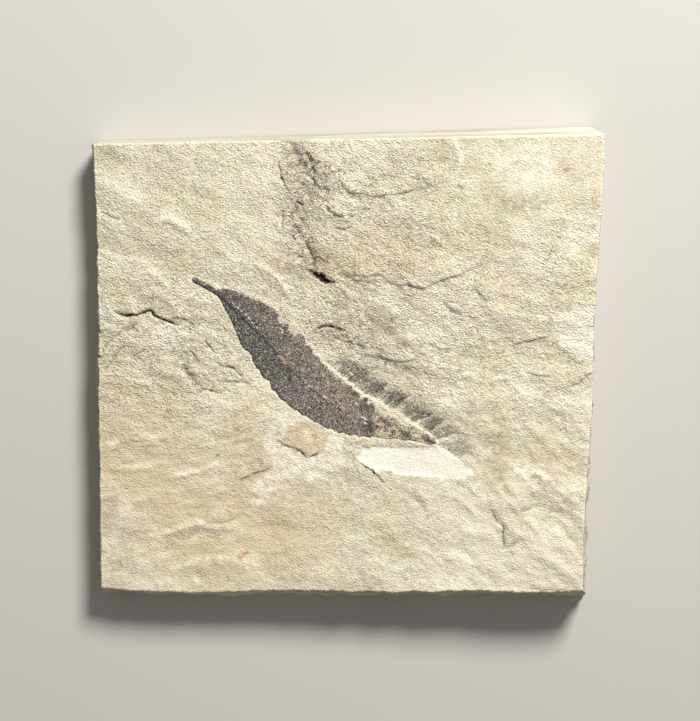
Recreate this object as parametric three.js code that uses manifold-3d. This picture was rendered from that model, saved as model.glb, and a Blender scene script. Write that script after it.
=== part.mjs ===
// Fossil leaf plate: one carbonised leaf with its stalk, pressed on the split face of a wedge of
// laminated limestone. The plate lies on its flat back with the leaf upwards.
// Millimetres, +Z up, +Y towards the sawn edge. The origin is under the middle of the plate's box.

import * as THREE from "three";
import { mergeVertices } from "three/addons/utils/BufferGeometryUtils.js";
import Module from "manifold-3d";

// Plate: overall box, and thickness at the left and right ends
const PLATE_WIDTH = 125;
const PLATE_DEPTH = 120.4;
const THIN_END = 9;
const THICK_END = 14;

// Corners in the order lower left, lower right, sawn right, sawn left
const FACE_CORNERS = [
  [-PLATE_WIDTH / 2, -56],
  [59.2, -55.7],
  [PLATE_WIDTH / 2, 59.3],
  [-PLATE_WIDTH / 2, 56.5],
];
const BACK_CORNERS = [
  [-62, -59.7],
  [61, -PLATE_DEPTH / 2],
  [60, PLATE_DEPTH / 2],
  [-61.5, 56.5],
];

// How far each broken edge wanders outwards, at even steps between its corners
const LOWER_WANDER = [0.8, 1.1, 0.5, 0.2, 0.6, 0.4, -0.1, 0.3];
const RIGHT_WANDER = [-0.6, -0.4, 0, -0.5, -0.2, 0.1];
const LEFT_WANDER = [-0.5, -0.6, -0.6, -0.2, -0.2, 0];

// Leaf: blade chord from the stalk's joint to the tip, and the film of carbon it left
const BLADE_LENGTH = 65.8;
const BLADE_BASE = [-32.1, 19.75];
const BLADE_TURN = THREE.MathUtils.degToRad(-34.5);
const FILM_THICKNESS = 0.3;
const STALK_LENGTH = 7;
const STALK_WIDTH = 1.3;
const STALK_DROP = 0.6;
const TOOTH_PITCH = 1.9;
const TOOTH_HEIGHT = 0.35;

// Margins measured across the chord at each tenth of the blade
const UPPER_MARGIN = [0.7, 3.7, 4.5, 2.6, 1.9, 0.1, -1, -1.7, -1.3, -0.2, 0.3];
const LOWER_MARGIN = [-0.7, -3.9, -7.6, -10.4, -12.5, -13.2, -12.7, -11.1, -7.8, -3.9, -0.8];

// Raised bed in the upper right: it thins out to nothing at its right-hand side
const BED_RISE = 0.8;
const BED_STEP_SIDE = [
  [-8.5, 57], [-8.5, 50], [-7, 41.5], [-6.5, 33], [-3.5, 27.5], [0.5, 25],
  [6, 24.5], [11, 22.5], [16, 21.3], [20.5, 22], [25, 24], [30, 26],
];
const BED_THIN_SIDE = [[37.5, 34.5], [42, 45.5], [44.5, 58]];
const BED_RIGHT_LIMIT = 31;

// Trench scraped along the leaf, in blade coordinates (along, across), deepest at its near edge
const TRENCH_DEPTH = 1.3;
const TRENCH_NEAR = 0.7;
const TRENCH_FAR = 8;
const TRENCH_OUTLINE = [
  [36, 3], [40, 0.9], [50, TRENCH_NEAR], [58, 1.2], [66, 2.3], [71, 2.5],
  [75, 5], [70, 7.6], [62, TRENCH_FAR], [50, 7.6], [42, 6],
];

// Pale patch scraped flat under the leaf's tip
const PATCH_DEPTH = 0.4;
const PATCH_OUTLINE = [
  [4.2, -19.2], [13, -19.2], [24.3, -19.5], [31.5, -23], [30.8, -25.3],
  [27.3, -27], [16.6, -26.2], [7.8, -25], [2.3, -21.2],
];

// Cracks and the split under the raised bed, each a path with a width and a depth
const CRACKS = [
  { path: [[-58, 15.3], [-55.2, 13.9], [-49.7, 14.7], [-47.6, 13.5], [-41.6, 11]], width: 1, depth: 0.9 },
  { path: [[36, -35], [37, -37], [38.7, -38.5], [39, -41], [40.2, -46]], width: 0.9, depth: 0.6 },
  { path: [[-10, 25.5], [-6.5, 23.6], [-2.1, 22.3]], width: 1.4, depth: 1.2 },
];

// Cutters stand this far above the face, and added beds reach this far into it
const CLEARANCE = 3;

const wasm = await Module();
wasm.setup();

/** Height of the split face above the back, at a place across the plate. */
function faceHeight(x) {
  return THREE.MathUtils.mapLinear(x, -PLATE_WIDTH / 2, PLATE_WIDTH / 2, THIN_END, THICK_END);
}

/** A prism on a plan of points, with every corner carried by place(x, y, isTop) to its own spot. */
function prism(points, place) {
  const shape = new THREE.Shape(points.map(([x, y]) => new THREE.Vector2(x, y)));
  const geometry = new THREE.ExtrudeGeometry(shape, { depth: 1, bevelEnabled: false });
  geometry.deleteAttribute("normal");
  geometry.deleteAttribute("uv");
  const position = geometry.getAttribute("position");
  for (let i = 0; i < position.count; i += 1) {
    position.setXYZ(i, ...place(position.getX(i), position.getY(i), position.getZ(i) > 0.5));
  }
  return mergeVertices(geometry, 1e-4);
}

/** A prism that follows the sloping face, between two heights measured from it. */
function prismOnFace(points, low, high) {
  return prism(points, (x, y, isTop) => [x, y, faceHeight(x) + (isTop ? high : low)]);
}

/** The spot on the plate for a point given along and across the leaf's blade. */
function onBlade(along, across) {
  const [x, y] = BLADE_BASE;
  const cos = Math.cos(BLADE_TURN);
  const sin = Math.sin(BLADE_TURN);
  return [x + cos * along - sin * across, y + sin * along + cos * across];
}

function toSolid(geometry) {
  return new wasm.Manifold(new wasm.Mesh({
    numProp: 3,
    vertProperties: new Float32Array(geometry.getAttribute("position").array),
    triVerts: new Uint32Array(geometry.getIndex().array),
  }));
}

function toGeometry(solid) {
  const mesh = solid.getMesh();
  const geometry = new THREE.BufferGeometry();
  geometry.setAttribute("position", new THREE.BufferAttribute(new Float32Array(mesh.vertProperties), 3));
  geometry.setIndex(new THREE.BufferAttribute(new Uint32Array(mesh.triVerts), 1));
  geometry.computeVertexNormals();
  return geometry;
}

/** Points along one broken side of the unit square, pushed outwards by its wander. */
function brokenSide(from, to, outward, wander, size) {
  return wander.map((amount, i) => {
    const t = (i + 1) / (wander.length + 1);
    return [0, 1].map((k) => from[k] + (to[k] - from[k]) * t + (outward[k] * amount) / size);
  });
}

/** A point inside four corners, at u across and v up. */
function insideCorners([a, b, c, d], u, v) {
  return [0, 1].map((k) => (1 - v) * ((1 - u) * a[k] + u * b[k]) + v * ((1 - u) * d[k] + u * c[k]));
}

/** The rough blank: a wedge lofted from the back's corners to the face's corners. */
function plateBlank() {
  const outline = [
    [0, 0],
    ...brokenSide([0, 0], [1, 0], [0, -1], LOWER_WANDER, PLATE_DEPTH),
    [1, 0],
    ...brokenSide([1, 0], [1, 1], [1, 0], RIGHT_WANDER, PLATE_WIDTH),
    [1, 1],
    [0, 1],
    ...brokenSide([0, 1], [0, 0], [-1, 0], LEFT_WANDER.toReversed(), PLATE_WIDTH),
  ];
  return prism(outline, (u, v, isTop) => {
    const inside = [THREE.MathUtils.clamp(u, 0, 1), THREE.MathUtils.clamp(v, 0, 1)];
    const [x, y] = isTop ? insideCorners(FACE_CORNERS, u, v) : insideCorners(BACK_CORNERS, ...inside);
    return [x, y, isTop ? faceHeight(x) : 0];
  });
}

/** The raised bed, full height along its broken step and thinned to nothing on the other side. */
function raisedBed() {
  return prism([...BED_STEP_SIDE, ...BED_THIN_SIDE], (x, y, isTop) => {
    const rise = x < BED_RIGHT_LIMIT ? BED_RISE : 0;
    return [x, y, faceHeight(x) + (isTop ? rise : -CLEARANCE)];
  });
}

/** The trench beside the leaf: its floor climbs from the near edge to the far edge. */
function trench() {
  return prism(TRENCH_OUTLINE, (along, across, isTop) => {
    const [x, y] = onBlade(along, across);
    const floor = THREE.MathUtils.mapLinear(across, TRENCH_NEAR, TRENCH_FAR, -TRENCH_DEPTH, 0);
    return [x, y, faceHeight(x) + (isTop ? CLEARANCE : floor)];
  });
}

/** A crack: its path widened to a sliver with pointed ends. */
function crack({ path, width, depth }) {
  const sides = path.slice(1, -1).map(([x, y], i) => {
    const [before, after] = [path[i], path[i + 2]];
    const run = new THREE.Vector2(after[0] - before[0], after[1] - before[1]).setLength(width / 2);
    return { left: [x - run.y, y + run.x], right: [x + run.y, y - run.x] };
  });
  const rightToLeft = sides.map((side) => side.left).toReversed();
  const outline = [path[0], ...sides.map((side) => side.right), path.at(-1), ...rightToLeft];
  return prismOnFace(outline, -depth, CLEARANCE);
}

/** One margin of the blade: a smooth curve through its tenths, with fine teeth standing out from it. */
function margin(offsets, outward) {
  const tenths = offsets.map((across, i) => new THREE.Vector2((i * BLADE_LENGTH) / 10, across));
  const teeth = Math.round(BLADE_LENGTH / TOOTH_PITCH);
  const points = new THREE.SplineCurve(tenths).getPoints(2 * teeth);
  return points.map((p, i) => [p.x, p.y + (i % 2) * outward * TOOTH_HEIGHT]);
}

/** The leaf: stalk, lower margin to the tip, and upper margin back to the stalk. */
function leafFilm() {
  const outline = [
    [-STALK_LENGTH, -STALK_DROP - STALK_WIDTH / 2],
    ...margin(LOWER_MARGIN, -1),
    ...margin(UPPER_MARGIN, 1).toReversed(),
    [-STALK_LENGTH, -STALK_DROP + STALK_WIDTH / 2],
  ];
  return prism(outline, (along, across, isTop) => {
    const [x, y] = onBlade(along, across);
    return [x, y, faceHeight(x) + (isTop ? FILM_THICKNESS : 0)];
  });
}

function stoneSlab() {
  let stone = toSolid(plateBlank()).add(toSolid(raisedBed()));
  const cutters = [trench(), prismOnFace(PATCH_OUTLINE, -PATCH_DEPTH, CLEARANCE), ...CRACKS.map(crack)];
  for (const cutter of cutters) {
    stone = stone.subtract(toSolid(cutter));
  }
  return toGeometry(stone);
}

function piece(name, geometry, look) {
  const mesh = new THREE.Mesh(geometry, new THREE.MeshStandardMaterial(look));
  mesh.name = name;
  return mesh;
}

const plate = new THREE.Group();
plate.add(piece("stone_slab", stoneSlab(), { color: 0xd3c8ac, roughness: 0.95, metalness: 0 }));
plate.add(piece("fossil_leaf", leafFilm(), { color: 0x4d4340, roughness: 0.8, metalness: 0 }));

export default plate;
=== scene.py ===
"""Fossil leaf plate: a carbonised leaf on the split face of a wedge of pale laminated limestone.

The plate lies on its flat back, leaf upwards. Shapes are worked out in millimetres, in the frame's own
axes: +Y towards the sawn edge, +Z out of the split face. They become metres when a mesh is made.
"""

import logging
import math
from dataclasses import dataclass, field, replace
from enum import Enum

import bpy
import numpy as np
from mathutils import Matrix, Vector
from numpy.typing import NDArray


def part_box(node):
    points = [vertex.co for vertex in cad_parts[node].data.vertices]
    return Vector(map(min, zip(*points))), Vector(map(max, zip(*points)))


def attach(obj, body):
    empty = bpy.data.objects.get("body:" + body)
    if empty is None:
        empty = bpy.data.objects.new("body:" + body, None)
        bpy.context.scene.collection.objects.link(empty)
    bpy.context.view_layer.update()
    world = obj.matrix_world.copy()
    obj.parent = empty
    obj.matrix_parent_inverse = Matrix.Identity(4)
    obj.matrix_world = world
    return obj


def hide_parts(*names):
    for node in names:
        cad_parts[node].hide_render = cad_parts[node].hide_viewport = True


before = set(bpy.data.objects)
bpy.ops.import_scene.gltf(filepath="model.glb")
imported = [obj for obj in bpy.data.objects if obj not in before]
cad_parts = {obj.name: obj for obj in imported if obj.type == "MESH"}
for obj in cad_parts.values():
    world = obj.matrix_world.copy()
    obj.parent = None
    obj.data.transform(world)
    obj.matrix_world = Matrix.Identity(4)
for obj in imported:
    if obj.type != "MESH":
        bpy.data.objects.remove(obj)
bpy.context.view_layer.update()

log = logging.getLogger("fossil_leaf_plate")

Grid = NDArray[np.float64]
Point = tuple[float, float]
Span = tuple[float, float]
Spot = tuple[float, float, float, float]
Socket = bpy.types.NodeSocket

METRES_PER_MM = 0.001

# The picture's longer side, which the width of the camera's sensor spans
IMAGE_HEIGHT_PX = 721


class Tint(Enum):
    """The stains on the stone, each kept as a mesh attribute of this name. Grey is partly painted shade,
    soil partly painted shadow and chalk partly a painted highlight.
    """

    CHALK_AND_HIGHLIGHT = "chalk"
    DUST = "dust"
    GREY_AND_SHADE = "grey"
    OCHRE = "ochre"
    RUST = "rust"
    SHADE = "shade"
    SOIL_AND_SHADOW = "soil"


def smooth_step(low: float, high: float, value: Grid) -> Grid:
    """Climbs from 0 at low to 1 at high along the cubic 3t^2 - 2t^3.

    Args:
        low: Where the climb starts.
        high: Where it ends.
        value: Places to read it at.

    Returns:
        The height of the climb at each place.
    """
    t = np.clip((value - low) / (high - low), 0.0, 1.0)
    return t * t * (3.0 - 2.0 * t)


def curve_through(at: Grid, knots: Grid, values: Grid) -> Grid:
    """A cubic Hermite curve through the values, its slope at each knot taken from the knots beside it.

    Args:
        at: Places to read the curve at.
        knots: Places of the values, in rising order.
        values: Heights that the curve passes through.

    Returns:
        The curve's height at each place, held level past the ends.
    """
    slopes = np.gradient(values, knots)
    span = np.clip(np.searchsorted(knots, at, side="right") - 1, 0, len(knots) - 2)
    gap = knots[span + 1] - knots[span]
    t = np.clip((at - knots[span]) / gap, 0.0, 1.0)
    rise = values[span + 1] - values[span]
    ease = smooth_step(0.0, 1.0, t)
    bend = t * (1 - t) * ((1 - t) * (slopes[span] * gap) - t * (slopes[span + 1] * gap))
    return values[span] + rise * ease + bend


def hashed(column: Grid, row: Grid, seed: int) -> Grid:
    """A repeatable number from 0 to 1 for each whole-number place, made by mixing its bits.

    Args:
        column: Whole numbers across.
        row: Whole numbers up.
        seed: Picks one of many such patterns.

    Returns:
        The numbers, in the shape of column.
    """
    with np.errstate(over="ignore"):
        key = column.astype(np.int64).astype(np.uint32) * np.uint32(0x9E3779B1)
        key ^= row.astype(np.int64).astype(np.uint32) * np.uint32(0x85EBCA77)
        key += np.uint32((seed * 0x27D4EB2F) % 2**32)
        for shift, factor in ((15, 0x2C1B3C6D), (12, 0x297A2D39)):
            key ^= key >> np.uint32(shift)
            key *= np.uint32(factor)
        key ^= key >> np.uint32(15)
    return key / 2.0**32


def gradient_noise(x: Grid, y: Grid, seed: int) -> Grid:
    """Smooth noise from about -1 to 1, with lumps about one unit wide.

    Each lattice corner has a plane that slopes in a hashed direction, and the four planes round a place are
    blended by the quintic 6t^5 - 15t^4 + 10t^3.

    Args:
        x: Places across, in lumps.
        y: Places up, in lumps.
        seed: Picks the pattern.

    Returns:
        The noise at each place.
    """
    column, row = np.floor(x), np.floor(y)
    across, up = x - column, y - row

    def plane(right: int, above: int) -> Grid:
        """The sloping plane of one corner of the cell."""
        turn = 2.0 * np.pi * hashed(column + right, row + above, seed)
        return np.cos(turn) * (across - right) + np.sin(turn) * (up - above)

    blend_across = across**3 * (across * (across * 6 - 15) + 10)
    blend_up = up**3 * (up * (up * 6 - 15) + 10)
    low = plane(0, 0) + (plane(1, 0) - plane(0, 0)) * blend_across
    high = plane(0, 1) + (plane(1, 1) - plane(0, 1)) * blend_across
    return 1.5 * (low + (high - low) * blend_up)


@dataclass(frozen=True)
class Roughness:
    """Fractal relief: octaves of noise, each half the size of the one before and gain times its height.

    Attributes:
        lump: Size of the largest lumps, in mm.
        height: Height of the largest lumps, in mm.
        octaves: How many sizes are added.
        gain: Height of each size against the one before.
        stretch: How much longer the lumps are along their grain than across it.
        turn: Direction of the grain, in degrees from +X.
        seed: Picks the pattern.
    """

    lump: float
    height: float
    octaves: int = 4
    gain: float = 0.5
    stretch: float = 1.0
    turn: float = 0.0
    seed: int = 1

    def at(self, x: Grid, y: Grid) -> Grid:
        """The relief at places in mm: the sum of height * gain^k * noise(place * 2^k / lump).

        Args:
            x: Places across.
            y: Places up.

        Returns:
            Heights in mm.
        """
        angle = math.radians(self.turn)
        along = (x * math.cos(angle) + y * math.sin(angle)) / (self.lump * self.stretch)
        across = (y * math.cos(angle) - x * math.sin(angle)) / self.lump
        total = np.zeros_like(x)
        for octave in range(self.octaves):
            finer = 2.0**octave
            layer = gradient_noise(along * finer, across * finer, self.seed + 17 * octave)
            total += self.gain**octave * layer
        return self.height * total


@dataclass(frozen=True)
class Zone:
    """A part of the split face with a grain of its own.

    Attributes:
        centre: Its middle, in mm.
        reach: Distance over which its grain gives way to that of its neighbours, in mm.
        grain: The relief there.
        speckle: How strongly its finest grains stand out, about 1.
        chips: How high its flakes stand, about 1.
    """

    centre: Point
    reach: float
    grain: Roughness
    speckle: float
    chips: float

    def weight(self, x: Grid, y: Grid) -> Grid:
        """How much this zone counts at each place: exp(-(distance / reach)^2), and never quite nothing."""
        away = (x - self.centre[0]) ** 2 + (y - self.centre[1]) ** 2
        return np.exp(-away / self.reach**2) + 1e-9


@dataclass(frozen=True)
class Trace:
    """A line on the split face, through points in mm."""

    points: tuple[Point, ...]

    def measure(self, x: Grid, y: Grid) -> tuple[Grid, Grid, Grid]:
        """Finds the nearest point of the line to each place.

        Args:
            x: Places across.
            y: Places up.

        Returns:
            The distance to the line, the same with a sign that is positive on the left of the line's
            direction, and the share of the line's length that lies before the nearest point.
        """
        ends = np.asarray(self.points)
        run = np.diff(ends, axis=0)
        length = np.hypot(run[:, 0], run[:, 1])
        before = np.concatenate([[0.0], np.cumsum(length)[:-1]])
        dx = x[..., None] - ends[:-1, 0]
        dy = y[..., None] - ends[:-1, 1]
        t = np.clip((dx * run[:, 0] + dy * run[:, 1]) / length**2, 0.0, 1.0)
        away = np.hypot(dx - t * run[:, 0], dy - t * run[:, 1])
        nearest = np.argmin(away, axis=-1)[..., None]
        left = np.where(run[:, 0] * dy - run[:, 1] * dx >= 0.0, 1.0, -1.0)

        def pick(values: Grid) -> Grid:
            """The values of the nearest stretch of line."""
            return np.take_along_axis(values, nearest, -1)[..., 0]

        distance = pick(away)
        return distance, distance * pick(left), pick(before + t * length) / length.sum()

    def depth_inside(self, x: Grid, y: Grid) -> Grid:
        """Distance inside the closed outline through the points, negative outside it.

        A place is inside when a ray from it towards +X crosses the outline an odd number of times.

        Args:
            x: Places across.
            y: Places up.

        Returns:
            Depths in mm.
        """
        closed = Trace(self.points + self.points[:1])
        corner = np.asarray(closed.points)
        x0, y0 = corner[:-1, 0], corner[:-1, 1]
        x1, y1 = corner[1:, 0], corner[1:, 1]
        spans = (y0 > y[..., None]) != (y1 > y[..., None])
        slope = (x1 - x0) / np.where(y1 == y0, 1.0, y1 - y0)
        crossed = spans & (x[..., None] < x0 + slope * (y[..., None] - y0))
        inside = np.sum(crossed, axis=-1) % 2 == 1
        distance = closed.measure(x, y)[0]
        return np.where(inside, distance, -distance)


def trace(*points: Point) -> Trace:
    """The line through the points given."""
    return Trace(points)


def tapered(share: Grid, end: float, waves: float) -> Grid:
    """Fades a line's effect in and out towards its ends, and makes it uneven between them.

    Args:
        share: Shares of the line's length, from 0 to 1.
        end: Share over which each end fades out.
        waves: How many times it swells and dies along the line.

    Returns:
        Factors from 0 at the ends to between about 0.4 and 1.3 along the rest.
    """
    swelling = 0.85 + 0.5 * gradient_noise(share * waves, np.full_like(share, waves), 77)
    return swelling * smooth_step(0.0, end, share) * smooth_step(0.0, end, 1.0 - share)


@dataclass(frozen=True)
class Fold:
    """A ridge or, with a negative height, a groove or crack: height * exp(-(distance / width)^2).

    Attributes:
        line: Where it runs.
        width: Half width in mm.
        height: Height in mm, negative for a groove.
        soil: How much dark soil and painted shade lie in it, from 0 to 1.
        tint: The colour that follows it: a stain, and with grey partly painted shade.
        cover: That colour's cover at its middle, from 0 to 1.
        end: Share of its length over which each end fades out.
    """

    line: Trace
    width: float
    height: float
    soil: float = 0.0
    tint: Tint = Tint.CHALK_AND_HIGHLIGHT
    cover: float = 0.0
    end: float = 0.15

    def at(self, x: Grid, y: Grid) -> tuple[Grid, Grid, Grid]:
        """Reads the fold at places on the face.

        Args:
            x: Places across.
            y: Places up.

        Returns:
            Its height in mm, the soil and painted shade along its line, and the distance from that line in
            half widths, with a sign.
        """
        _, side, share = self.line.measure(x, y)
        fade = tapered(share, self.end, 5.0)
        away = side / self.width
        return self.height * np.exp(-(away**2)) * fade, self.soil * fade, away


@dataclass(frozen=True)
class Lip:
    """The broken edge of a thin bed of stone, raised on the left of its line.

    Its height climbs from nothing to rise across the line and then dies away as exp(-distance / back).

    Attributes:
        line: Where the edge runs.
        rise: Height of the edge in mm.
        back: Distance over which the bed falls back to the face, in mm.
        soil: How much dark soil and painted shadow lie at its foot, from 0 to 1.
        face: Half width of the broken edge in mm.
        foot: Half width of the line of soil and painted shadow in mm.
        tint: The stain on the broken edge.
        cover: That stain's cover, from 0 to 1.
    """

    line: Trace
    rise: float
    back: float
    soil: float = 0.0
    face: float = 0.28
    foot: float = 0.28
    tint: Tint = Tint.GREY_AND_SHADE
    cover: float = 0.0

    def at(self, x: Grid, y: Grid) -> tuple[Grid, Grid, Grid]:
        """Reads the lip at places on the face.

        Args:
            x: Places across.
            y: Places up.

        Returns:
            Its height in mm, the soil and painted shadow along its foot, and the distance from its foot in
            half widths, with a sign.
        """
        _, side, share = self.line.measure(x, y)
        fade = tapered(share, 0.2, 7.0)
        climb = smooth_step(-self.face, self.face, side)
        height = self.rise * climb * np.exp(-np.maximum(side, 0.0) / self.back) * fade
        return height, self.soil * fade, (side + self.face / 2) / self.foot


@dataclass(frozen=True)
class Stain:
    """A soft-edged patch of colour on the stone.

    Attributes:
        tint: Which colour.
        line: The line it follows, or its outline if it is closed.
        spread: Width of the soft edge in mm.
        strength: Cover at its middle, from 0 to 1.
        closed: True if the line is an outline to be filled.
        bare: An outline inside which the stain is left out.
        bare_edge: Width of that outline's soft edge in mm.
    """

    tint: Tint
    line: Trace
    spread: float
    strength: float
    closed: bool = False
    bare: Trace | None = None
    bare_edge: float = 0.3

    def at(self, x: Grid, y: Grid) -> Grid:
        """Reads the stain: strength * exp(-(distance / spread)^2), or a filled outline with a soft edge.

        Args:
            x: Places across.
            y: Places up.

        Returns:
            The stain's cover at each place, from 0 to 1.
        """
        if self.closed:
            cover = self.strength * smooth_step(-self.spread, self.spread, self.line.depth_inside(x, y))
            if self.bare is not None:
                bare_depth = self.bare.depth_inside(x, y)
                cover = cover * smooth_step(self.bare_edge, -self.bare_edge, bare_depth)
            return cover
        distance = self.line.measure(x, y)[0]
        return self.strength * np.exp(-((distance / self.spread) ** 2))


@dataclass(frozen=True)
class Blade:
    """The leaf's outline, in mm along and across the chord from the stalk's joint to the tip.

    Both margins run straight between their points, because teeth and torn places have corners.

    Attributes:
        base: The stalk's joint, on the plate.
        turn: Direction of the chord, in degrees from +X.
        start: Where the stalk ends, along the chord.
        tip: Where the blade ends, along the chord.
        upper: Points of the upper margin, as (along, across).
        lower: Points of the lower margin.
        midrib: Points of the midrib.
        fray: Height of the finest unevenness of the margins.
        fray_size: Length of that unevenness.
        tip_closes: Distance over which the tip closes.
        stalk_closes: Distance over which the stalk's end closes.
        least: The share of the width that is left at either end.
    """

    base: Point = (-32.1, 19.75)
    turn: float = -34.5
    start: float = -7.15
    tip: float = 66.0
    upper: tuple[Point, ...] = (
        (-7.2, -0.3), (-6.6, 0.0), (-5.0, 0.3), (-3.3, 0.5), (-1.4, 0.7), (-0.8, 0.5), (-0.1, 1.0),
        (0.1, 1.5), (0.5, 1.9), (1.8, 2.4), (3.6, 3.0), (5.4, 3.5), (7.2, 3.6), (9.6, 4.3), (12.8, 4.6),
        (13.9, 4.6), (14.6, 4.2), (15.7, 4.2), (15.9, 2.9), (16.6, 2.5), (17.3, 2.6), (17.9, 3.1),
        (18.6, 3.6), (18.8, 3.5), (19.1, 3.0), (19.6, 2.4), (20.3, 2.1), (21.6, 2.0), (21.9, 2.2),
        (22.1, 3.1), (22.9, 3.3), (23.8, 3.1), (24.4, 2.7), (24.7, 2.1), (25.7, 2.0), (26.5, 2.2),
        (27.2, 1.8), (27.8, 1.0), (29.5, 1.0), (30.1, 0.9), (30.5, 0.3), (31.8, 0.4), (32.5, 0.5),
        (32.8, 0.3), (33.1, -0.2), (35.0, -0.2), (35.3, -0.8), (35.9, -0.8), (36.8, -0.4), (37.5, -0.5),
        (37.8, -1.0), (38.6, -1.1), (39.2, -0.6), (39.8, -0.5), (40.3, -0.2), (40.8, -0.4), (41.0, -0.9),
        (42.4, -0.7), (43.5, -0.6), (43.7, -1.9), (44.5, -1.5), (44.7, -0.5), (45.6, -0.5), (45.8, -1.6),
        (46.3, -1.8), (46.7, -1.6), (46.9, -0.9), (47.9, -0.9), (48.3, -1.4), (48.7, -1.7), (49.2, -1.5),
        (51.0, -1.1), (52.9, -1.1), (53.9, -0.8), (55.0, -1.1), (56.8, -0.7), (59.0, 0.1), (62.9, 0.5),
        (64.5, 0.4), (65.8, 0.2),
    )
    lower: tuple[Point, ...] = (
        (-7.1, -1.1), (-6.2, -1.3), (-4.9, -1.1), (-1.1, -0.7), (0.2, -0.7), (1.7, -1.2), (3.9, -2.5),
        (5.5, -3.2), (8.9, -5.4), (11.9, -7.5), (13.5, -8.0), (14.4, -7.9), (15.8, -8.3), (16.5, -9.2),
        (18.5, -10.2), (19.1, -10.1), (20.7, -11.0), (21.3, -11.2), (23.0, -11.0), (23.7, -11.7),
        (24.7, -12.5), (25.5, -12.3), (27.9, -13.2), (29.2, -13.0), (30.6, -13.4), (32.1, -13.4),
        (32.7, -13.1), (34.4, -13.5), (35.2, -13.0), (38.2, -13.1), (38.5, -12.8), (41.8, -12.7),
        (42.0, -12.1), (44.5, -12.0), (45.4, -11.2), (47.2, -10.9), (48.1, -10.0), (49.4, -9.8),
        (50.0, -9.0), (51.6, -8.6), (51.8, -7.9), (55.1, -6.5), (56.8, -5.1), (59.0, -4.2), (59.9, -3.4),
        (62.5, -2.4), (64.9, -1.5), (65.8, -0.7),
    )
    midrib: tuple[Point, ...] = (
        (-7.3, -0.8), (-0.4, -0.1), (1.5, -0.3), (5.9, -1.1), (11.7, -2.2), (15.4, -2.8), (20.1, -4.0),
        (28.7, -5.9), (34.4, -6.4), (38.3, -6.6), (47.2, -5.7), (53.2, -4.3), (59.4, -2.3), (66.0, 0.0),
    )
    fray: float = 0.09
    fray_size: float = 0.7
    tip_closes: float = 0.9
    stalk_closes: float = 0.2
    least: float = 0.02

    def to_plate(self, along: Grid, across: Grid) -> tuple[Grid, Grid]:
        """Turns and moves places from the leaf's chord to the plate."""
        cos, sin = math.cos(math.radians(self.turn)), math.sin(math.radians(self.turn))
        return self.base[0] + cos * along - sin * across, self.base[1] + sin * along + cos * across

    def to_blade(self, x: Grid, y: Grid) -> tuple[Grid, Grid]:
        """Turns and moves places from the plate to the leaf's chord."""
        cos, sin = math.cos(math.radians(self.turn)), math.sin(math.radians(self.turn))
        dx, dy = x - self.base[0], y - self.base[1]
        return cos * dx + sin * dy, cos * dy - sin * dx

    def rib(self, along: Grid) -> Grid:
        """The midrib, a smooth curve through its points."""
        knots = np.asarray(self.midrib)
        return curve_through(along, knots[:, 0], knots[:, 1])

    def margins(self, along: Grid) -> tuple[Grid, Grid]:
        """The lower and upper margins, frayed, and closed to a blunt end at the stalk and the tip.

        Args:
            along: Places along the chord.

        Returns:
            Places across the chord of the lower and the upper margin.
        """
        sides = []
        for seed, points in ((5, self.lower), (6, self.upper)):
            knots = np.asarray(points)
            frayed = self.fray * gradient_noise(along / self.fray_size, np.zeros_like(along), seed)
            sides.append(np.interp(along, knots[:, 0], knots[:, 1]) + frayed)
        lower, upper = sides
        middle, half = (upper + lower) / 2, (upper - lower) / 2
        tip_round = np.sqrt(np.clip((self.tip - along) / self.tip_closes, 0.0, 1.0))
        stalk_round = np.sqrt(np.clip((along - self.start) / self.stalk_closes, 0.0, 1.0))
        half = half * np.maximum(tip_round * stalk_round, self.least)
        return middle - half, middle + half


def hex_to_linear(code: str) -> tuple[float, float, float, float]:
    """Turns an sRGB hex colour such as "D3C8AC" to a linear colour with full alpha.

    Args:
        code: Six hex digits.

    Returns:
        Red, green, blue and alpha.
    """
    parts = [int(code[i:i + 2], 16) / 255 for i in (0, 2, 4)]
    red, green, blue = (p / 12.92 if p <= 0.04045 else ((p + 0.055) / 1.055) ** 2.4 for p in parts)
    return red, green, blue, 1.0


def add_node(
    tree: bpy.types.NodeTree,
    kind: str,
    inputs: dict[int | str, object] | None = None,
    output: int | str = 0,
    **settings: str | bool,
) -> Socket | None:
    """Adds one shader node, with its settings, its values and its links.

    Args:
        tree: Where it goes.
        kind: Blender's name for the node, after the words ShaderNode.
        inputs: Socket name or number to a value, or to an output socket to link from.
        output: Name or number of the output that is wanted.
        **settings: Properties of the node.

    Returns:
        That output, or None from a node without outputs.
    """
    node = tree.nodes.new(f"ShaderNode{kind}")
    for name, value in settings.items():
        setattr(node, name, value)
    for socket, value in (inputs or {}).items():
        if isinstance(value, Socket):
            tree.links.new(value, node.inputs[socket])
        else:
            node.inputs[socket].default_value = value
    return node.outputs[output] if node.outputs else None


class Mix(Enum):
    """Sockets of the colour mix node, which has several of each name."""

    FACTOR = 0
    A = 6
    B = 7
    RESULT = 2


class Texture(Enum):
    """How a pattern is drawn: the kind of node, and the output that is read."""

    LUMPS = ("TexNoise", "Fac")
    GRAINS = ("TexVoronoi", "Color")
    CRUMBS = ("TexVoronoi", "Distance")


@dataclass(frozen=True)
class Pattern:
    """A pattern in the material, with its real size.

    Attributes:
        size: Size of its lumps or grains in mm.
        texture: Fractal lumps, a shade for each grain, or the distance from each grain's middle, which
            creases where grains meet.
        detail: How many finer sizes of lump are added.
        turn: Direction in which it is drawn out, in degrees from +X.
        stretch: How many times longer it is along that direction, across it and in depth.
    """

    size: float
    texture: Texture = Texture.LUMPS
    detail: float = 2.0
    turn: float = 0.0
    stretch: tuple[float, float, float] = (1.0, 1.0, 1.0)


@dataclass(frozen=True)
class Cover:
    """Where a layer shows: not at all at one level of a pattern, most at another, and evenly between.

    Attributes:
        low: The level at which it doesn't show.
        high: The level at which it shows most.
        most: How much it then hides of what lies under it, from 0 to 1.
    """

    low: float
    high: float
    most: float = 1.0


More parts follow.
